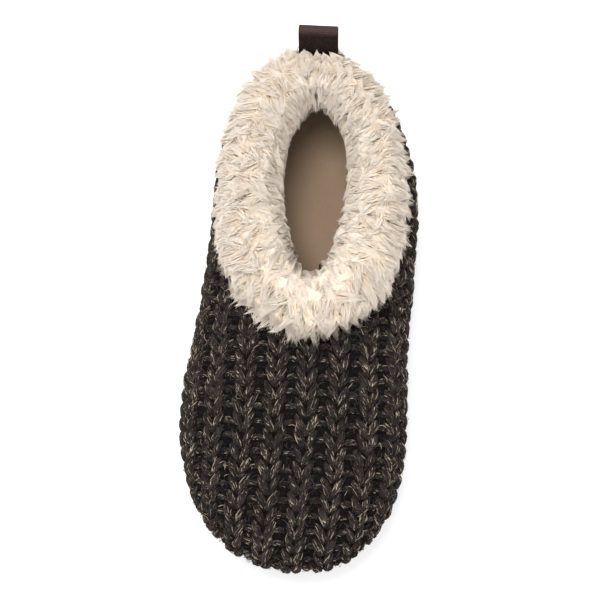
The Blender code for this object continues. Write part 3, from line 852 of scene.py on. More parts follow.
def leg_shape(radius, steps):
    """One leg of a raised stitch, from its foot at the middle of the rib out and up to its shoulder."""
    q = np.linspace(0.0, 1.0, steps)
    swell = np.sin(math.pi * np.clip(0.06 + 0.88 * q, 0, 1)) ** 0.75
    return {
        "along": (-5.1 + 10.2 * q) * MM,
        "across": (0.35 + 4.55 * q**1.15) * MM,
        "height": (-3.3 + 1.9 * np.sin(math.pi * q) ** 0.8) * MM,
        "thick": radius * (0.35 + 0.70 * swell),
        "run": q * 10.5,
        "sides": (-1, 1),
    }


def bump_shape(radius, back, drop, width):
    """The small arch of a sunk stitch, across the hollow between two ribs."""
    return {
        "along": (back + 1.5 * (1.0 - ARCH * ARCH)) * MM,
        "across": ARCH * width * MM,
        "height": (drop - 1.0 * ARCH * ARCH) * MM,
        "thick": radius * (1.0 - 0.35 * ARCH * ARCH),
        "run": (ARCH + 1.0) * 4.0,
        "sides": (1,),
    }


def seam_lines(surface, rng):
    """Slanting stitches that close the seam down the middle of the heel."""
    held = surface.known[-1] & (surface.across < 0)
    line, normal = surface.point[-1][held], surface.normal[-1][held]
    run = run_along(line)
    at = np.arange(0.0015, run[-1], SEAM_PITCH)
    place, normal = read_at(at, run, line), unit(read_at(at, run, normal))
    up = unit(read_at(at, run, np.gradient(line, axis=0)))
    side = np.cross(up, normal)
    reach = (4.3 + 0.4 * rng.standard_normal((len(at), 1))) * MM * ARCH
    height = (-1.9 - 1.2 * ARCH * ARCH) * MM
    points = (place[:, None, :] + reach[..., None] * (side + 0.42 * up)[:, None, :]
              + height[None, :, None] * normal[:, None, :])
    return {
        "points": points,
        "lift": np.broadcast_to(normal[:, None, :], points.shape),
        "thick": np.broadcast_to(1.5 * MM * (1.0 - 0.35 * ARCH * ARCH), points.shape[:2]),
        "along": np.broadcast_to((ARCH + 1.0) * 4.3, points.shape[:2]),
        "tone": rng.random(len(at)),
    }


def yarn_hairs(lines, per, tone_from, rng):
    """Short light fibres that lie along the outside of the yarn, a few on each stitch."""
    count, steps = lines["points"].shape[:2]
    pick = np.repeat(np.arange(count), per)
    start = 0.10 + 0.48 * rng.random((len(pick), 1))
    at = np.clip(start + (0.20 + 0.18 * rng.random((len(pick), 1))) * ALONG, 0.0, 1.0) * (steps - 1)
    low = np.minimum(at.astype(int), steps - 2)
    share = (at - low)[..., None]

    def read(table):
        return table[pick[:, None], low] * (1 - share) + table[pick[:, None], low + 1] * share

    place, normal = read(lines["points"]), unit(read(lines["lift"]))
    side = unit(np.cross(read(unit(np.gradient(lines["points"], axis=1))), normal))
    angle = (rng.random((len(pick), 1)) * 2.0 - 1.0) * 1.15
    angle = angle + 0.3 * rng.standard_normal((len(pick), 1)) * (ALONG - 0.5)
    out = np.cos(angle)[..., None] * normal + np.sin(angle)[..., None] * side
    stand = 0.06 * MM + 0.35 * MM * rng.random((len(pick), 1)) ** 3 * ALONG**2
    return {
        "points": place + out * (read(lines["thick"][..., None]) * 0.98 + stand[..., None]),
        "lift": out,
        "thick": 0.14 * MM * (0.7 + 0.6 * rng.random((len(pick), 1))) * (1.0 - 0.5 * np.abs(2 * ALONG - 1)),
        "along": np.broadcast_to(ALONG, at.shape),
        "tone": tone_from + (1.0 - tone_from) * rng.random(len(pick)),
    }


# The knit's surface and its yarn, kept for the pieces that are made later
SURFACE = {}


def knit_surface():
    """The surface of the knit, read once."""
    if "knit" not in SURFACE:
        SURFACE["knit"] = KnitSurface()
    return SURFACE["knit"]


class SLIPPER_OT_ground(bpy.types.Operator):
    """Makes the dark ground of the knit, a thin wall under the stitches"""

    bl_idname = "slipper.ground"
    bl_label = "Knit Ground"

    def execute(self, context):
        mesh = merged_mesh("upper", "knit_ground")
        place, normal = positions(mesh), vertex_normals(mesh)
        outer = np.clip(np.sum(unit(place - spine_near(place)) * normal, axis=1) * 1.6, 0.0, 1.0)
        place_vertices(mesh, place - normal * (outer * GROUND_DROP)[:, None])
        new_piece("knit_ground", mesh, ground_material(), "upper")
        return {"FINISHED"}


class SLIPPER_OT_stitches(bpy.types.Operator):
    """Knits the upper: raised ribs of nested stitches with sunk stitches between them"""

    bl_idname = "slipper.stitches"
    bl_label = "Knit Stitches"

    def execute(self, context):
        knit = sizes("knit")
        rng = np.random.default_rng(knit.seed)
        surface = knit_surface()
        reach = int(ACROSS_REACH / knit.rib_pitch)
        ribs = np.arange(-reach, reach + 1) * knit.rib_pitch
        sunk = (np.arange(-reach, reach) + 0.5) * knit.rib_pitch
        legs = column_lines(surface, ribs, knit.row_pitch, leg_shape(knit.yarn_radius, 8), rng)
        seam = seam_lines(surface, rng)
        tubes("knit_ribs", legs, yarn_material("rib_yarn", 1.12), "upper", "knit",
              Sides=10, Depth=0.09, Lobes=5, Twist=1.6)
        arches = column_lines(surface, sunk, knit.row_pitch, bump_shape(1.65 * MM, -0.6, -2.15, 3.1), rng)
        arches = joined([arches, seam])
        SURFACE["yarn"] = (legs, arches)
        # The deep arches are painted darker by their tone, as painted shade far down in the hollows
        deep = column_lines(surface, sunk, knit.row_pitch, bump_shape(1.4 * MM, -4.3, -2.7, 3.0), rng)
        deep["tone"] = PAINTED_SHADE_TONE + 0.2 * deep["tone"]
        # The yarn in the hollows is the rib yarn painted darker (gain 0.80 against 1.12), as painted shade
        # between the ribs
        tubes("knit_hollows", joined([arches, deep]), yarn_material("hollow_yarn", 0.80), "upper", "knit",
              Sides=8, Depth=0.08, Lobes=4, Twist=1.2)
        return {"FINISHED"}


class SLIPPER_OT_fuzz(bpy.types.Operator):
    """Adds the loose fibres that stand off the yarn"""

    bl_idname = "slipper.fuzz"
    bl_label = "Knit Fuzz"

    def execute(self, context):
        knit = sizes("knit")
        rng = np.random.default_rng(knit.seed + 1)
        surface = knit_surface()
        rows = len(surface.point)
        count = knit.fuzz_count * 3
        station = rng.random(count) * (rows - 1)
        across = (rng.random(count) * 2.0 - 1.0) * (ACROSS_REACH - 0.002)
        # Stations crowd together in the two fans, so fewer of them are kept there
        i = np.clip(station.astype(int), 0, rows - 2)
        j = np.round((across + ACROSS_REACH) / ACROSS_STEP).astype(int)
        step = np.linalg.norm(surface.point[i + 1, j] - surface.point[i, j], axis=1)
        kept = rng.random(count) < step / PLANE_STEP
        place, normal, known = surface.at(station, across)
        kept &= known
        place, normal = place[kept][:knit.fuzz_count], normal[kept][:knit.fuzz_count]
        ahead = unit(surface.point[i + 1, j] - surface.point[i, j])[kept][:knit.fuzz_count]
        count = len(place)
        aside = unit(np.cross(ahead, normal))
        turn = rng.choice((-1, 1), count) * 0.45 + 0.45 * rng.standard_normal(count)
        flip = rng.choice((-1, 1), count)
        way = (np.cos(turn)[:, None] * ahead + np.sin(turn)[:, None] * aside) * flip[:, None]
        side = np.cross(normal, way)
        length = (1.8 + 3.0 * rng.random(count) ** 1.5) * MM
        curl = 0.5 * rng.standard_normal(count)
        rise = (0.3 + 1.1 * rng.random(count) ** 2) * MM
        height = -0.9 * MM + rise[:, None] * (0.35 + np.sin(math.pi * ALONG))
        points = (
            place[:, None, :]
            + way[:, None, :] * (ALONG - 0.5)[None, :, None] * length[:, None, None]
            + side[:, None, :] * (curl * length)[:, None, None] * ((ALONG - 0.5) ** 2)[None, :, None]
            + normal[:, None, :] * height[..., None]
        )
        radius = 0.16 * MM * (0.6 + 0.6 * rng.random(count))
        lines = {
            "points": points,
            "lift": np.broadcast_to(normal[:, None, :], points.shape),
            "thick": radius[:, None] * (1.0 - 0.55 * np.abs(2 * ALONG - 1)),
            "along": np.broadcast_to(ALONG, points.shape[:2]),
            "tone": 0.9 * rng.random(count),
        }
        legs, arches = SURFACE["yarn"]
        lines = joined([lines, yarn_hairs(legs, 4, 0.45, rng), yarn_hairs(arches, 4, 0.50, rng)])
        tubes("knit_fuzz", lines, fuzz_material(), "upper", "knit", Sides=3)
        return {"FINISHED"}


# The pile

class PileSurface:
    """The face of the pile as a table: turns round the collar, and cells from hem over crown to lining."""

    TURNS = 200
    OUTER = 44
    INNER = 56

    def __init__(self):
        pile, self.knit = tree_of("fur_collar"), tree_of("upper")
        turn = np.arange(self.TURNS) * 2.0 * math.pi / self.TURNS
        plan = np.array(COLLAR_CENTRE) - np.array(COLLAR_HALF) * np.column_stack([np.sin(turn), np.cos(turn)])
        out = unit(np.column_stack([-np.sin(turn) * COLLAR_HALF[1], -np.cos(turn) * COLLAR_HALF[0]]))
        knit = positions(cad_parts["upper"].data)
        near = [np.linalg.norm(knit[:, :2] - spot, axis=1) < 0.008 for spot in plan]
        height = np.array([knit[close][:, 2].max() + 0.001 for close in near])
        self.turn = turn
        self.core = np.column_stack([plan, self.round_blur(height, 4.0)])
        self.out = np.column_stack([out, np.zeros(self.TURNS)])
        down = np.array([self.down_knit(i) for i in range(self.TURNS)])
        self.down = unit(self.round_blur(down, 3.0))
        lines = np.array([self.face_line(pile, i) for i in range(self.TURNS)])
        self.point = smoothed(self.round_blur(lines, 2.0), 1.8, 1)
        over = np.gradient(self.point, axis=1)
        around = (np.roll(self.point, -1, axis=0) - np.roll(self.point, 1, axis=0)) / 2.0
        self.over_step, self.around_step = over, around
        self.normal = unit(np.cross(over, around))
        if np.mean(self.normal[:, self.OUTER, 2]) < 0:
            self.normal = -self.normal
        self.area = np.linalg.norm(np.cross(over, around), axis=2)
        over_length = np.linalg.norm(over, axis=2)
        self.from_hem = np.cumsum(over_length, axis=1)
        self.from_crown = self.from_hem - self.from_hem[:, self.OUTER:self.OUTER + 1]

    def round_blur(self, table, amount):
        """A table blurred round the collar, whose last turn meets its first."""
        tripled = np.concatenate([table] * 3)
        return smoothed(tripled, amount, 0)[self.TURNS:2 * self.TURNS]

    def down_knit(self, i):
        """The way down the outside of the knit from its edge."""
        start = self.core[i] + self.out[i] * 0.006 - [0, 0, 0.006]
        normal = self.knit.find_nearest(Vector(start))[1]
        way = self.out[i] * 0.5 - UPWARD
        return unit(way - np.array(normal) * np.dot(way, normal))

    def face_line(self, pile, i):
        """Points over the roll at one turn, from the hem over the crown and down the lining."""
        centre = Vector(self.core[i])
        found = []
        for angle in np.radians(np.arange(-84.0, 258.1, 2.0)):
            way = Vector(self.out[i] * math.cos(angle) + np.array([0, 0, math.sin(angle)]))
            reach = self.way_out(pile, centre, way)
            spot = centre + way * reach if reach else None
            clear = HEM_CLEAR if angle < math.pi / 2 else INSIDE_CLEAR
            if spot is None or self.knit.find_nearest(spot)[3] < clear:
                found.append(None)
            else:
                found.append((angle, np.array(spot)))
        middle = len(found) // 2 + 1
        first = middle
        while first > 0 and found[first - 1] is not None:
            first -= 1
        last = middle
        while last < len(found) - 1 and found[last + 1] is not None:
            last += 1
        angles = np.array([f[0] for f in found[first:last + 1]])
        line = np.array([f[1] for f in found[first:last + 1]])
        run = run_along(line)
        crown = np.interp(math.radians(92.0), angles, run)
        at = np.concatenate([
            np.linspace(0.0, crown, self.OUTER, endpoint=False), np.linspace(crown, run[-1], self.INNER)])
        return read_at(at, run, line)

    @staticmethod
    def way_out(tree, start, way):
        """Distance to where a ray first leaves the pile."""
        gone = 0.0
        for _ in range(4):
            hit, normal, _, distance = tree.ray_cast(start + way * gone, way, 0.04)
            if hit is None:
                break
            gone += distance + 0.00005
            if normal.dot(way) > 0.0:
                return gone
        return 0.0

    def at(self, row, column):
        """Points and normals at fractional rows and columns, carried on down the knit past the hem."""
        rows = np.floor(row).astype(int)
        held = np.clip(column, 0.0, self.OUTER + self.INNER - 1.001)
        columns = np.floor(held).astype(int)
        a, b = (row - rows)[..., None], (held - columns)[..., None]
        low, high = np.mod(rows, self.TURNS), np.mod(rows + 1, self.TURNS)
        cell = (low, high, columns, a, b)
        past, over = (column - held)[..., None], mixed(self.over_step, *cell)
        step = np.linalg.norm(over, axis=-1, keepdims=True)
        hem = -past * step * (self.down[low] * (1 - a) + self.down[high] * a)
        beyond = np.where(past < 0.0, hem, past * over)
        return mixed(self.point, *cell) + beyond, unit(mixed(self.normal, *cell))


def pile_locks(surface, rng):
    """Places of the locks, even over the pile's face."""
    spacing = sizes("pile").lock_spacing
    weights = surface.area / surface.area.sum()
    total = int(surface.area.sum() / spacing**2 * 3.0)
    flat = rng.choice(weights.size, total, p=weights.reshape(-1))
    i, j = np.unravel_index(flat, weights.shape)
    place = surface.point[i, j] + (rng.random((total, 3)) - 0.5) * 0.001
    kept = []
    taken = np.zeros((0, 3))
    for k in range(total):
        if len(taken) and (np.linalg.norm(taken - place[k], axis=1) < spacing * 0.78).any():
            continue
        kept.append(k)
        taken = np.vstack([taken, place[k]])
    return i[kept], j[kept]


def hem_teeth(surface, row, rng):
    """For tips at the given rows: the row of the middle of their tooth of the hem, and the tooth's length."""
    turns = surface.TURNS
    run = np.concatenate([[0.0], np.cumsum(np.linalg.norm(surface.around_step[:, 0], axis=1))])
    total = run[-1]
    at = np.interp(np.mod(row, turns), np.arange(turns + 1), run)
    count = int(total / HEM_TOOTH)
    number = np.round(at / total * count).astype(int)
    shift = 0.22 * rng.standard_normal(count)
    middle = (number + shift[np.mod(number, count)]) * total / count
    middle_row = np.interp(
        middle, np.concatenate([run[:-1] - total, run, run[1:] + total]), np.arange(-turns, 2 * turns + 1))
    return row - np.mod(row, turns) + middle_row, rng.random(count)[np.mod(number, count)]


def strand_lines(points, normals, rng):
    """Lines of strands through points by lock and strand, thinner to their tips. Their tone comes later."""
    shape = (points.shape[0] * points.shape[1], len(ALONG))
    radius = sizes("pile").strand_radius * (0.75 + 0.5 * rng.random(points.shape[:2]))
    return {
        "points": points.reshape(*shape, 3),
        "lift": np.broadcast_to(normals, points.shape).reshape(*shape, 3),
        "thick": (radius[..., None] * (1.0 - 0.80 * ALONG**1.5)).reshape(shape),
        "along": np.broadcast_to(ALONG, shape),
    }


def pile_lines(surface, rng):
    """Strands gathered into pointed locks that lie over the roll, combed away from the parting on its top."""
    pile = sizes("pile")
    i, j = pile_locks(surface, rng)
    locks, per = len(i), pile.strands
    turn = surface.turn[i]
    from_crown = surface.from_crown[i, j]
    front = eased((np.cos(turn) - 0.25) / 0.6)
    outer = from_crown < 0.0015 * rng.standard_normal(locks)
    parting = np.exp(-((from_crown / 0.006) ** 2))

    # Combing direction in the face: over the roll and around it, a little towards the toe
    over, around = unit(surface.over_step[i, j]), unit(surface.around_step[i, j])
    toe = np.array([0.0, -1.0, 0.0])
    comb_over = np.where(outer, -1.0, 1.0) + 0.35 * (over @ toe)
    comb_around = 0.35 * (around @ toe) + (0.15 + 0.60 * parting) * rng.standard_normal(locks)
    size = np.hypot(comb_over, comb_around)
    comb_over, comb_around = comb_over / size, comb_around / size
    length = pile.short_length + (pile.long_length - pile.short_length) * front * np.where(outer, 1.0, 0.15)
    length = length * (1.0 - 0.25 * parting) * (0.85 + 0.3 * rng.random(locks))

    # Locks near the hem are drawn into its pointed teeth
    from_hem = surface.from_hem[i, j]
    hem_step = np.linalg.norm(surface.around_step[i, 0], axis=1)
    tip_row = i + (from_hem + 0.003) * comb_around / np.maximum(np.abs(comb_over), 0.3) / hem_step
    tooth_row, tooth = hem_teeth(surface, tip_row, rng)
    past_hem = (-1.0 + 6.5 * tooth + 0.6 * rng.random(locks) + 1.5 * eased((np.cos(turn) - 0.8) / 0.2)) * MM
    length = np.where(outer, np.minimum(length, np.maximum(from_hem + past_hem, 0.006)), length)
    toothed = np.where(outer, eased(1.0 - (from_hem - length) / 0.004), 0.0)
    lift = 0.25 + 0.10 * rng.standard_normal(locks) + 0.10 * parting
    heel = eased((-np.cos(turn) - 0.6) / 0.4)
    sides = eased((-np.cos(turn) - 0.2) / 0.4)
    lift = lift * np.where(outer, 1.0 - 0.3 * front + 0.55 * sides, 0.45 - 0.25 * front + 0.45 * heel)
    bend = 0.18 * rng.standard_normal(locks)
    lock_tone = rng.random(locks)

    # Strands of each lock, gathered towards its tip
    q = ALONG
    spread = pile.lock_spacing * 0.9
    radius = np.sqrt(rng.random((locks, per))) * spread
    way = rng.random((locks, per)) * 2.0 * math.pi
    aside, ahead = radius * np.cos(way), radius * np.sin(way)
    reach = length[:, None] * (0.74 + 0.36 * rng.random((locks, per)) - 0.26 * radius / spread)
    gather = 1.0 - (0.62 + 0.28 * toothed)[:, None, None] * q**1.25
    wave = 0.55 * MM * rng.standard_normal((locks, per, 1))
    phase = rng.random((locks, per, 1)) * 2.0 * math.pi
    along = reach[..., None] * q + ahead[..., None] * gather
    across = aside[..., None] * gather + (bend[:, None] * reach)[..., None] * q**2
    across = across + wave * np.sin(q * 5.0 + phase)
    step_over = np.linalg.norm(surface.over_step[i, j], axis=1)[:, None, None]
    step_around = np.linalg.norm(surface.around_step[i, j], axis=1)[:, None, None]
    comb_over, comb_around = comb_over[:, None, None], comb_around[:, None, None]
    row = i[:, None, None] + (along * comb_around - across * comb_over) / step_around
    row = row + ((tooth_row - tip_row) * toothed * 0.9)[:, None, None] * q**1.6
    column = j[:, None, None] + (along * comb_over + across * comb_around) / step_over
    place, normal = surface.at(row, column)
    lifted = (lift[:, None] * reach * (0.7 + 0.6 * rng.random((locks, per))))[..., None]
    height = (-3.3 + 2.3 * (1.0 - (1.0 - q) ** 2.2)) * MM + lifted * q**1.6
    height = height - (1.3 * MM * front * ~outer)[:, None, None] * q
    # A crease down the middle of the heel, inside the collar
    crease = (np.mod(row, surface.TURNS) - surface.TURNS / 2) * step_around / CREASE_WIDTH
    height = height - CREASE_DEPTH * np.exp(-(crease**2)) * eased((column - surface.OUTER - 4.0) / 8.0)
    strands = strand_lines(place + normal * height[..., None], normal, rng)
    strands["tone"] = np.clip(0.6 * lock_tone[:, None] + 0.4 * rng.random((locks, per)), 0.0, 1.0).reshape(-1)
    return strands


def placed_locks(roots, normals, ways, length, rise, rng):
    """Strands of locks at given roots that lie along the given ways."""
    pile = sizes("pile")
    locks, per = len(roots), pile.strands
    ways = unit(ways - np.sum(ways * normals, axis=1, keepdims=True) * normals)
    side = np.cross(ways, normals)
    radius = np.sqrt(rng.random((locks, per))) * pile.lock_spacing
    turn = rng.random((locks, per)) * 2.0 * math.pi
    reach = length[:, None] * (0.82 + 0.22 * rng.random((locks, per)) - 0.2 * radius / pile.lock_spacing)
    gather = 1.0 - 0.88 * ALONG**1.25
    along = reach[..., None] * ALONG + (radius * np.sin(turn))[..., None] * gather
    across = (radius * np.cos(turn))[..., None] * gather
    height = -0.0009 + rise * ALONG**1.3 * (0.6 + 0.8 * rng.random((locks, per, 1)))
    points = (roots[:, None, None, :] + along[..., None] * ways[:, None, None, :]
              + across[..., None] * side[:, None, None, :] + height[..., None] * normals[:, None, None, :])
    strands = strand_lines(points, normals[:, None, None, :], rng)
    strands["tone"] = rng.random(locks * per)
    return strands


def locks_behind_loop(tree, rng):
    """The flap of pile that covers the foot of the pull loop."""
    step = sizes("pile").lock_spacing * 0.8
    roots, normals = [], []
    for x in np.arange(*BEHIND_X, step):
        for z in np.arange(*BEHIND_Z, step):
            shift = [0.0008 * rng.standard_normal() for _ in range(2)]
            aim = (RIBBON_X * MM + x + shift[0], 0.2, z + shift[1])
            hit, normal, _, _ = tree.ray_cast(Vector(aim), Vector((0.0, -1.0, 0.0)), 0.1)
            if hit is not None and hit[1] > BEHIND_FROM_Y:
                roots.append(hit)
                normals.append(normal)
    roots = np.array(roots)
    normals = unit(0.35 * unit(np.array(normals)) + np.array([0.0, 1.0, 0.15]))
    ways = np.tile([0.0, 0.0, -1.0], (len(roots), 1))
    ways[:, 0] = 0.12 * rng.standard_normal(len(roots))
    length = (roots[:, 2] - BEHIND_HEM + 0.003 * rng.random(len(roots))).clip(0.005, 0.011)
    return placed_locks(roots, normals, ways, length, 0.0028, rng)


def locks_before_loop(tree, rng):
    """Short locks on the top of the roll that stand against the front of the pull loop."""
    step = sizes("pile").lock_spacing * 0.8
    roots = []
    for x in np.arange(*BEFORE_X, step):
        for y in np.arange(*BEFORE_Y, step):
            shift = [0.0006 * rng.standard_normal() for _ in range(2)]
            aim = (RIBBON_X * MM + x + shift[0], y + shift[1], 0.12)
            hit = tree.ray_cast(Vector(aim), Vector((0.0, 0.0, -1.0)), 0.08)[0]
            if hit is not None:
                roots.append(hit)
    roots = np.array(roots) - [0.0, 0.0, 0.0020]
    normals = np.tile(unit(np.array([0.0, -0.75, 0.66])), (len(roots), 1))
    ways = np.tile([0.0, 0.40, 1.0], (len(roots), 1))
    ways[:, 0] = 0.25 * rng.standard_normal(len(roots))
    length = 0.0062 + 0.0018 * rng.random(len(roots))
    return placed_locks(roots, normals, ways, length, 0.0006, rng)


def rest_on_knit(tree, points):
    """Strand points that dip into the knit, lifted to lie on it."""
    flat = points.reshape(-1, 3)
    for k in range(len(flat)):
        # The first two points of each strand stay in the pile
        if k % len(ALONG) < 2:
            continue
        near, normal, _, _ = tree.find_nearest(Vector(flat[k]), 0.012)
        if near is None:
            continue
        height = float(np.dot(np.array(Vector(flat[k]) - near), np.array(normal)))
        if -0.005 < height < OVER_KNIT:
            flat[k] += np.array(normal) * (OVER_KNIT - height)
    return flat.reshape(points.shape)


class SLIPPER_OT_pile(bpy.types.Operator):
    """Makes the deep pile collar: a soft ground and pointed locks of strands over it"""

    bl_idname = "slipper.pile"
    bl_label = "Pile Collar"

    def execute(self, context):
        pile = sizes("pile")
        mesh = merged_mesh("fur_collar", "pile_ground")
        tree = tree_of("fur_collar")
        surface = PileSurface()
        place, normal = positions(mesh), vertex_normals(mesh)
        for k in range(len(place)):
            inward = Vector(-normal[k])
            hit = tree.ray_cast(Vector(place[k]) + inward * 0.0002, inward, 0.03)
            depth = hit[3] if hit[0] is not None else 0.0
            place[k] -= normal[k] * min(MOST_SINK, PILE_SINK * depth)
            self.draw_up_hem(surface, place[k])
        place_vertices(mesh, place)
        new_piece("pile_ground", mesh, pile_ground_material("pile_ground"), "fur_collar")

        rng = np.random.default_rng(pile.seed)
        lines = joined([pile_lines(surface, rng), locks_behind_loop(tree, rng), locks_before_loop(tree, rng)])
        lines["points"] = rest_on_knit(surface.knit, lines["points"])
        material = strand_material()
        total = len(lines["tone"])
        parts = max(1, math.ceil(total * STRAND_FACES / PIECE_FACES))
        for part in range(parts):
            chosen = slice(part * total // parts, (part + 1) * total // parts)
            some = {key: value[chosen] for key, value in lines.items()}
            tubes("pile_locks_" + str(part + 1), some, material, "fur_collar", "pile", spares=(), Sides=3)
        return {"FINISHED"}

    @staticmethod
    def draw_up_hem(surface, spot):
        """Shortens the flap of the ground over the knit, so that the locks at the hem stand apart."""
        near, normal, _, _ = surface.knit.find_nearest(Vector(spot))
        spine = spine_near(spot, -0.02, 0.03)
        if np.dot(np.array(near) - spine, normal) < 0.0 or np.array(normal) @ (spot - np.array(near)) < 0.0:
            return
        i = int(np.argmin(np.linalg.norm(surface.core - spot, axis=1)))
        below = max(0.0, float(np.dot(spot - surface.core[i], surface.down[i])))
        if np.dot(spot - surface.core[i], surface.out[i]) > 0.0:
            spot -= surface.down[i] * below * 0.30


class SLIPPER_OT_lining(bpy.types.Operator):
    """Lines the vamp and the toe with short pile, on from the collar"""

    bl_idname = "slipper.lining"
    bl_label = "Toe Lining"

    def execute(self, context):
        pile = sizes("pile")
        source = merged_mesh("upper", "toe_lining_source")
        place, normal = positions(source), vertex_normals(source)
        solids = [tree_of("insole"), tree_of("fur_collar")]
        kept = [tuple(p.vertices) for p in source.polygons if self.bare_inside(p, solids)]
        used = sorted({v for face in kept for v in face})
        number = {v: k for k, v in enumerate(used)}
        count = len(used)
        rng = np.random.default_rng(pile.seed + 2)
        back = place[used] + normal[used] * LINING_CLEAR
        nap = pile.lining_thickness + 0.0004 * rng.standard_normal((count, 1))
        front = place[used] + normal[used] * nap
        faces = [[number[v] + count for v in face] for face in kept]
        faces += [[number[v] for v in reversed(face)] for face in kept]
        edges = {(a, b) for face in kept for a, b in zip(face, face[1:] + face[:1])}
        for a, b in sorted(edges):
            if (b, a) not in edges:
                faces.append([number[b] + count, number[a] + count, number[a], number[b]])
        bpy.data.meshes.remove(source)
        mesh = bpy.data.meshes.new("toe_lining")
        mesh.from_pydata(np.vstack([back, front]).tolist(), [], faces)
        mesh.update()
        mesh.shade_smooth()
        piece = new_piece("toe_lining", mesh, pile_ground_material("toe_fleece"), "upper")
        round_off(piece)
        return {"FINISHED"}

    @staticmethod
    def bare_inside(face, solids):
        """Whether a face of the upper looks into the toe and has no footbed or collar against it."""
        centre = np.array(face.center)
        outward = np.dot(unit(centre - spine_near(centre)), np.array(face.normal))
        if outward > -0.25 or centre[1] > LINING_TO_Y:
            return False
        return all(solid.find_nearest(Vector(centre))[3] > LINING_GAP for solid in solids)


class SLIPPER_OT_footbed(bpy.types.Operator):
    """Covers the footbed in short-napped suede"""

    bl_idname = "slipper.footbed"
    bl_label = "Footbed"

    def execute(self, context):
        mesh = merged_mesh("insole", "footbed")
        mesh.shade_smooth()
        piece = new_piece("footbed", mesh, suede_material(), "insole")
        round_off(piece)
        return {"FINISHED"}


class SLIPPER_OT_sole(bpy.types.Operator):
    """Finishes the rubber sole"""

    bl_idname = "slipper.sole"
    bl_label = "Rubber Sole"

    def execute(self, context):
        mesh = merged_mesh("outsole", "sole")
        mesh.shade_smooth()
        mesh.set_sharp_from_angle(angle=math.radians(38.0))
        new_piece("sole", mesh, rubber_material(), "outsole")
        return {"FINISHED"}


class SLIPPER_OT_loop(bpy.types.Operator):
    """Weaves the pull loop, a folded ribbon with fine cross ribs and rounded edges"""

    bl_idname = "slipper.loop"
    bl_label = "Pull Loop"

    def execute(self, context):
        loop = sizes("loop")
        way = self.smooth(np.array(RIBBON_WAY) * MM)
        run = run_along(way)
        ribs = int(run[-1] / loop.rib_pitch)
        at = np.linspace(0.0, run[-1], ribs * 4 + 1)
        line = read_at(at, run, way)
        ahead = unit(np.gradient(line, axis=0))
        across = np.column_stack([ahead[:, 1], -ahead[:, 0]])
        wave = 0.80 + 0.20 * np.cos(at / run[-1] * ribs * 2.0 * math.pi)
        half = loop.width / 2.0
        corner = 0.0005
        # The section of the ribbon, with a slightly raised edge: places across it and shares of its half
        profile = [(-half, 0.45), (-half + corner, 1.0), (-half * 0.86, 1.05), (0.0, 1.0),
                   (half * 0.86, 1.05), (half - corner, 1.0), (half, 0.45)]
        profile = profile + [(x, -h) for x, h in reversed(profile)]
        points, strand = [], []
        count = len(profile)
        for k in range(len(line)):
            for x, h in profile:
                reach = loop.thickness / 2.0 * h * wave[k]
                spot = line[k] + across[k] * reach
                points.append((RIBBON_X * MM + x * (0.992 + 0.008 * wave[k]), spot[0], spot[1]))
                strand.append((at[k] / MM, x / half * 0.25 + (0.25 if h > 0 else 0.75), 0.5))
        faces = []
        for k in range(len(line) - 1):
            a, b = k * count, (k + 1) * count
            for i in range(count):
                j = (i + 1) % count
                faces.append((a + i, a + j, b + j, b + i))
        last = (len(line) - 1) * count
        faces.append(tuple(reversed(range(count))))
        faces.append(tuple(range(last, last + count)))
        mesh = bpy.data.meshes.new("pull_loop_ribbon")
        mesh.from_pydata(points, [], faces)
        mesh.update()
        attribute = mesh.attributes.new("strand", "FLOAT_VECTOR", "POINT")
        attribute.data.foreach_set("vector", np.array(strand, np.float32).reshape(-1))
        shape = bmesh.new()
        shape.from_mesh(mesh)
        bmesh.ops.recalc_face_normals(shape, faces=shape.faces)
        shape.to_mesh(mesh)
        shape.free()
        mesh.shade_smooth()
        piece = new_piece("pull_loop_ribbon", mesh, ribbon_material(), "pull_loop")
        return {"FINISHED"}

    @staticmethod
    def smooth(knots):
        """A dense smooth line through the knots."""
        ends = np.vstack([2 * knots[0] - knots[1], knots, 2 * knots[-1] - knots[-2]])
        found = []
        for i in range(len(knots) - 1):
            p0, p1, p2, p3 = ends[i:i + 4]
            for t in np.arange(12) / 12.0:
                bend = (2 * p0 - 5 * p1 + 4 * p2 - p3) * t * t + (3 * p1 - p0 - 3 * p2 + p3) * t**3
                found.append(0.5 * (2 * p1 + (p2 - p0) * t + bend))
        found.append(knots[-1])
        return np.array(found)


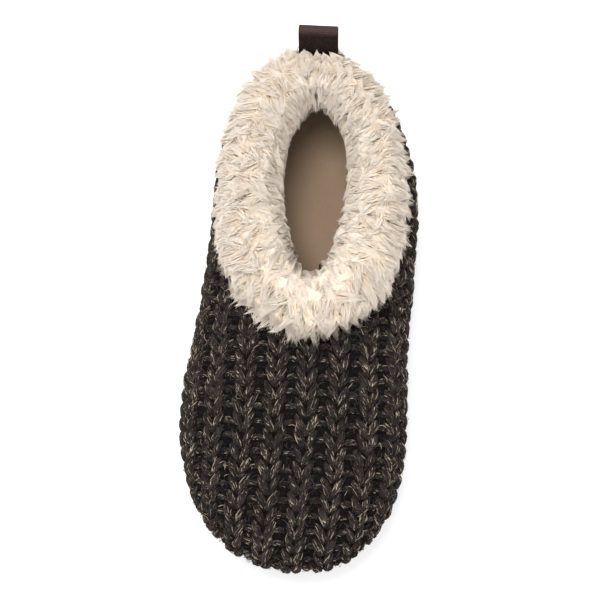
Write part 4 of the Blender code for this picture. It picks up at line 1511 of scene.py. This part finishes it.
class SLIPPER_OT_stage(bpy.types.Operator):
    """Sets the plain pale floor, the soft studio light and the camera"""

    bl_idname = "slipper.stage"
    bl_label = "Stage"

    def execute(self, context):
        stage = sizes("stage")
        scene = bpy.context.scene
        mesh = bpy.data.meshes.new("floor")
        corners = ((-1, -1), (1, -1), (1, 1), (-1, 1))
        mesh.from_pydata([(x * FLOOR_HALF, y * FLOOR_HALF, 0) for x, y in corners], [], [(0, 1, 2, 3)])
        mesh.update()
        mesh.materials.append(floor_material())
        floor = bpy.data.objects.new("floor", mesh)
        scene.collection.objects.link(floor)

        world = bpy.data.worlds.new("studio")
        world.use_nodes = True
        room = world.node_tree.nodes["Background"].inputs
        room["Color"].default_value = (1.0, 1.0, 1.0, 1.0)
        room["Strength"].default_value = ROOM_LIGHT
        scene.world = world
        light = bpy.data.lights.new("key", "AREA")
        light.shape = "DISK"
        light.size = LAMP_WIDTH
        light.energy = LAMP_POWER
        lamp = bpy.data.objects.new("key", light)
        scene.collection.objects.link(lamp)
        lamp.location = LAMP_AT
        lamp.rotation_euler = (-Vector(LAMP_AT)).to_track_quat("-Z", "Y").to_euler()
        scene.view_settings.view_transform = "Standard"

        target = Vector(VIEW_MIDDLE)
        away = Vector((
            math.cos(stage.elevation) * math.sin(stage.azimuth),
            -math.cos(stage.elevation) * math.cos(stage.azimuth),
            math.sin(stage.elevation),
        ))
        lens = bpy.data.cameras.new("camera")
        lens.sensor_width = SENSOR_WIDTH
        lens.lens = SENSOR_WIDTH * stage.distance / stage.field
        lens.clip_end = 50.0
        camera = bpy.data.objects.new("camera", lens)
        scene.collection.objects.link(camera)
        camera.location = target + away * stage.distance
        look = (target - camera.location).normalized()
        camera.rotation_euler = look.to_track_quat("-Z", "Y").to_euler()
        camera.rotation_euler.rotate_axis("Z", stage.roll)
        scene.camera = camera
        return {"FINISHED"}


class SLIPPER_PT_panel(bpy.types.Panel):
    """Lists the pieces of the slipper"""

    bl_label = "Knitted Slipper"
    bl_idname = "SLIPPER_PT_panel"
    bl_space_type = "VIEW_3D"
    bl_region_type = "UI"
    bl_category = "Slipper"

    def draw(self, context):
        for group, operators in PANEL_ROWS:
            box = self.layout.box()
            values = getattr(context.scene, "slipper_" + group)
            for name in values.__annotations__:
                box.prop(values, name)
            for operator in operators:
                box.operator(operator)


GROUPS = (
    ("knit", KnitSizes),
    ("pile", PileSizes),
    ("footbed", FootbedSizes),
    ("sole", SoleSizes),
    ("loop", LoopSizes),
    ("stage", StageSizes),
)
PANEL_ROWS = (
    ("knit", ("slipper.ground", "slipper.stitches", "slipper.fuzz")),
    ("pile", ("slipper.pile", "slipper.lining")),
    ("footbed", ("slipper.footbed",)),
    ("sole", ("slipper.sole",)),
    ("loop", ("slipper.loop",)),
    ("stage", ("slipper.stage",)),
)
OPERATORS = (
    SLIPPER_OT_ground,
    SLIPPER_OT_stitches,
    SLIPPER_OT_fuzz,
    SLIPPER_OT_pile,
    SLIPPER_OT_lining,
    SLIPPER_OT_footbed,
    SLIPPER_OT_sole,
    SLIPPER_OT_loop,
    SLIPPER_OT_stage,
)


def register():
    for name, group in GROUPS:
        bpy.utils.register_class(group)
        setattr(bpy.types.Scene, "slipper_" + name, PointerProperty(type=group))
    for cls in (*OPERATORS, SLIPPER_PT_panel):
        bpy.utils.register_class(cls)


def unregister():
    for cls in reversed((*OPERATORS, SLIPPER_PT_panel)):
        bpy.utils.unregister_class(cls)
    for name, group in reversed(GROUPS):
        delattr(bpy.types.Scene, "slipper_" + name)
        bpy.utils.unregister_class(group)


def main():
    register()
    bpy.ops.slipper.sole()
    bpy.ops.slipper.footbed()
    bpy.ops.slipper.ground()
    bpy.ops.slipper.stitches()
    bpy.ops.slipper.fuzz()
    bpy.ops.slipper.pile()
    bpy.ops.slipper.lining()
    bpy.ops.slipper.loop()
    bpy.ops.slipper.stage()


if __name__ == "__main__":
    main()
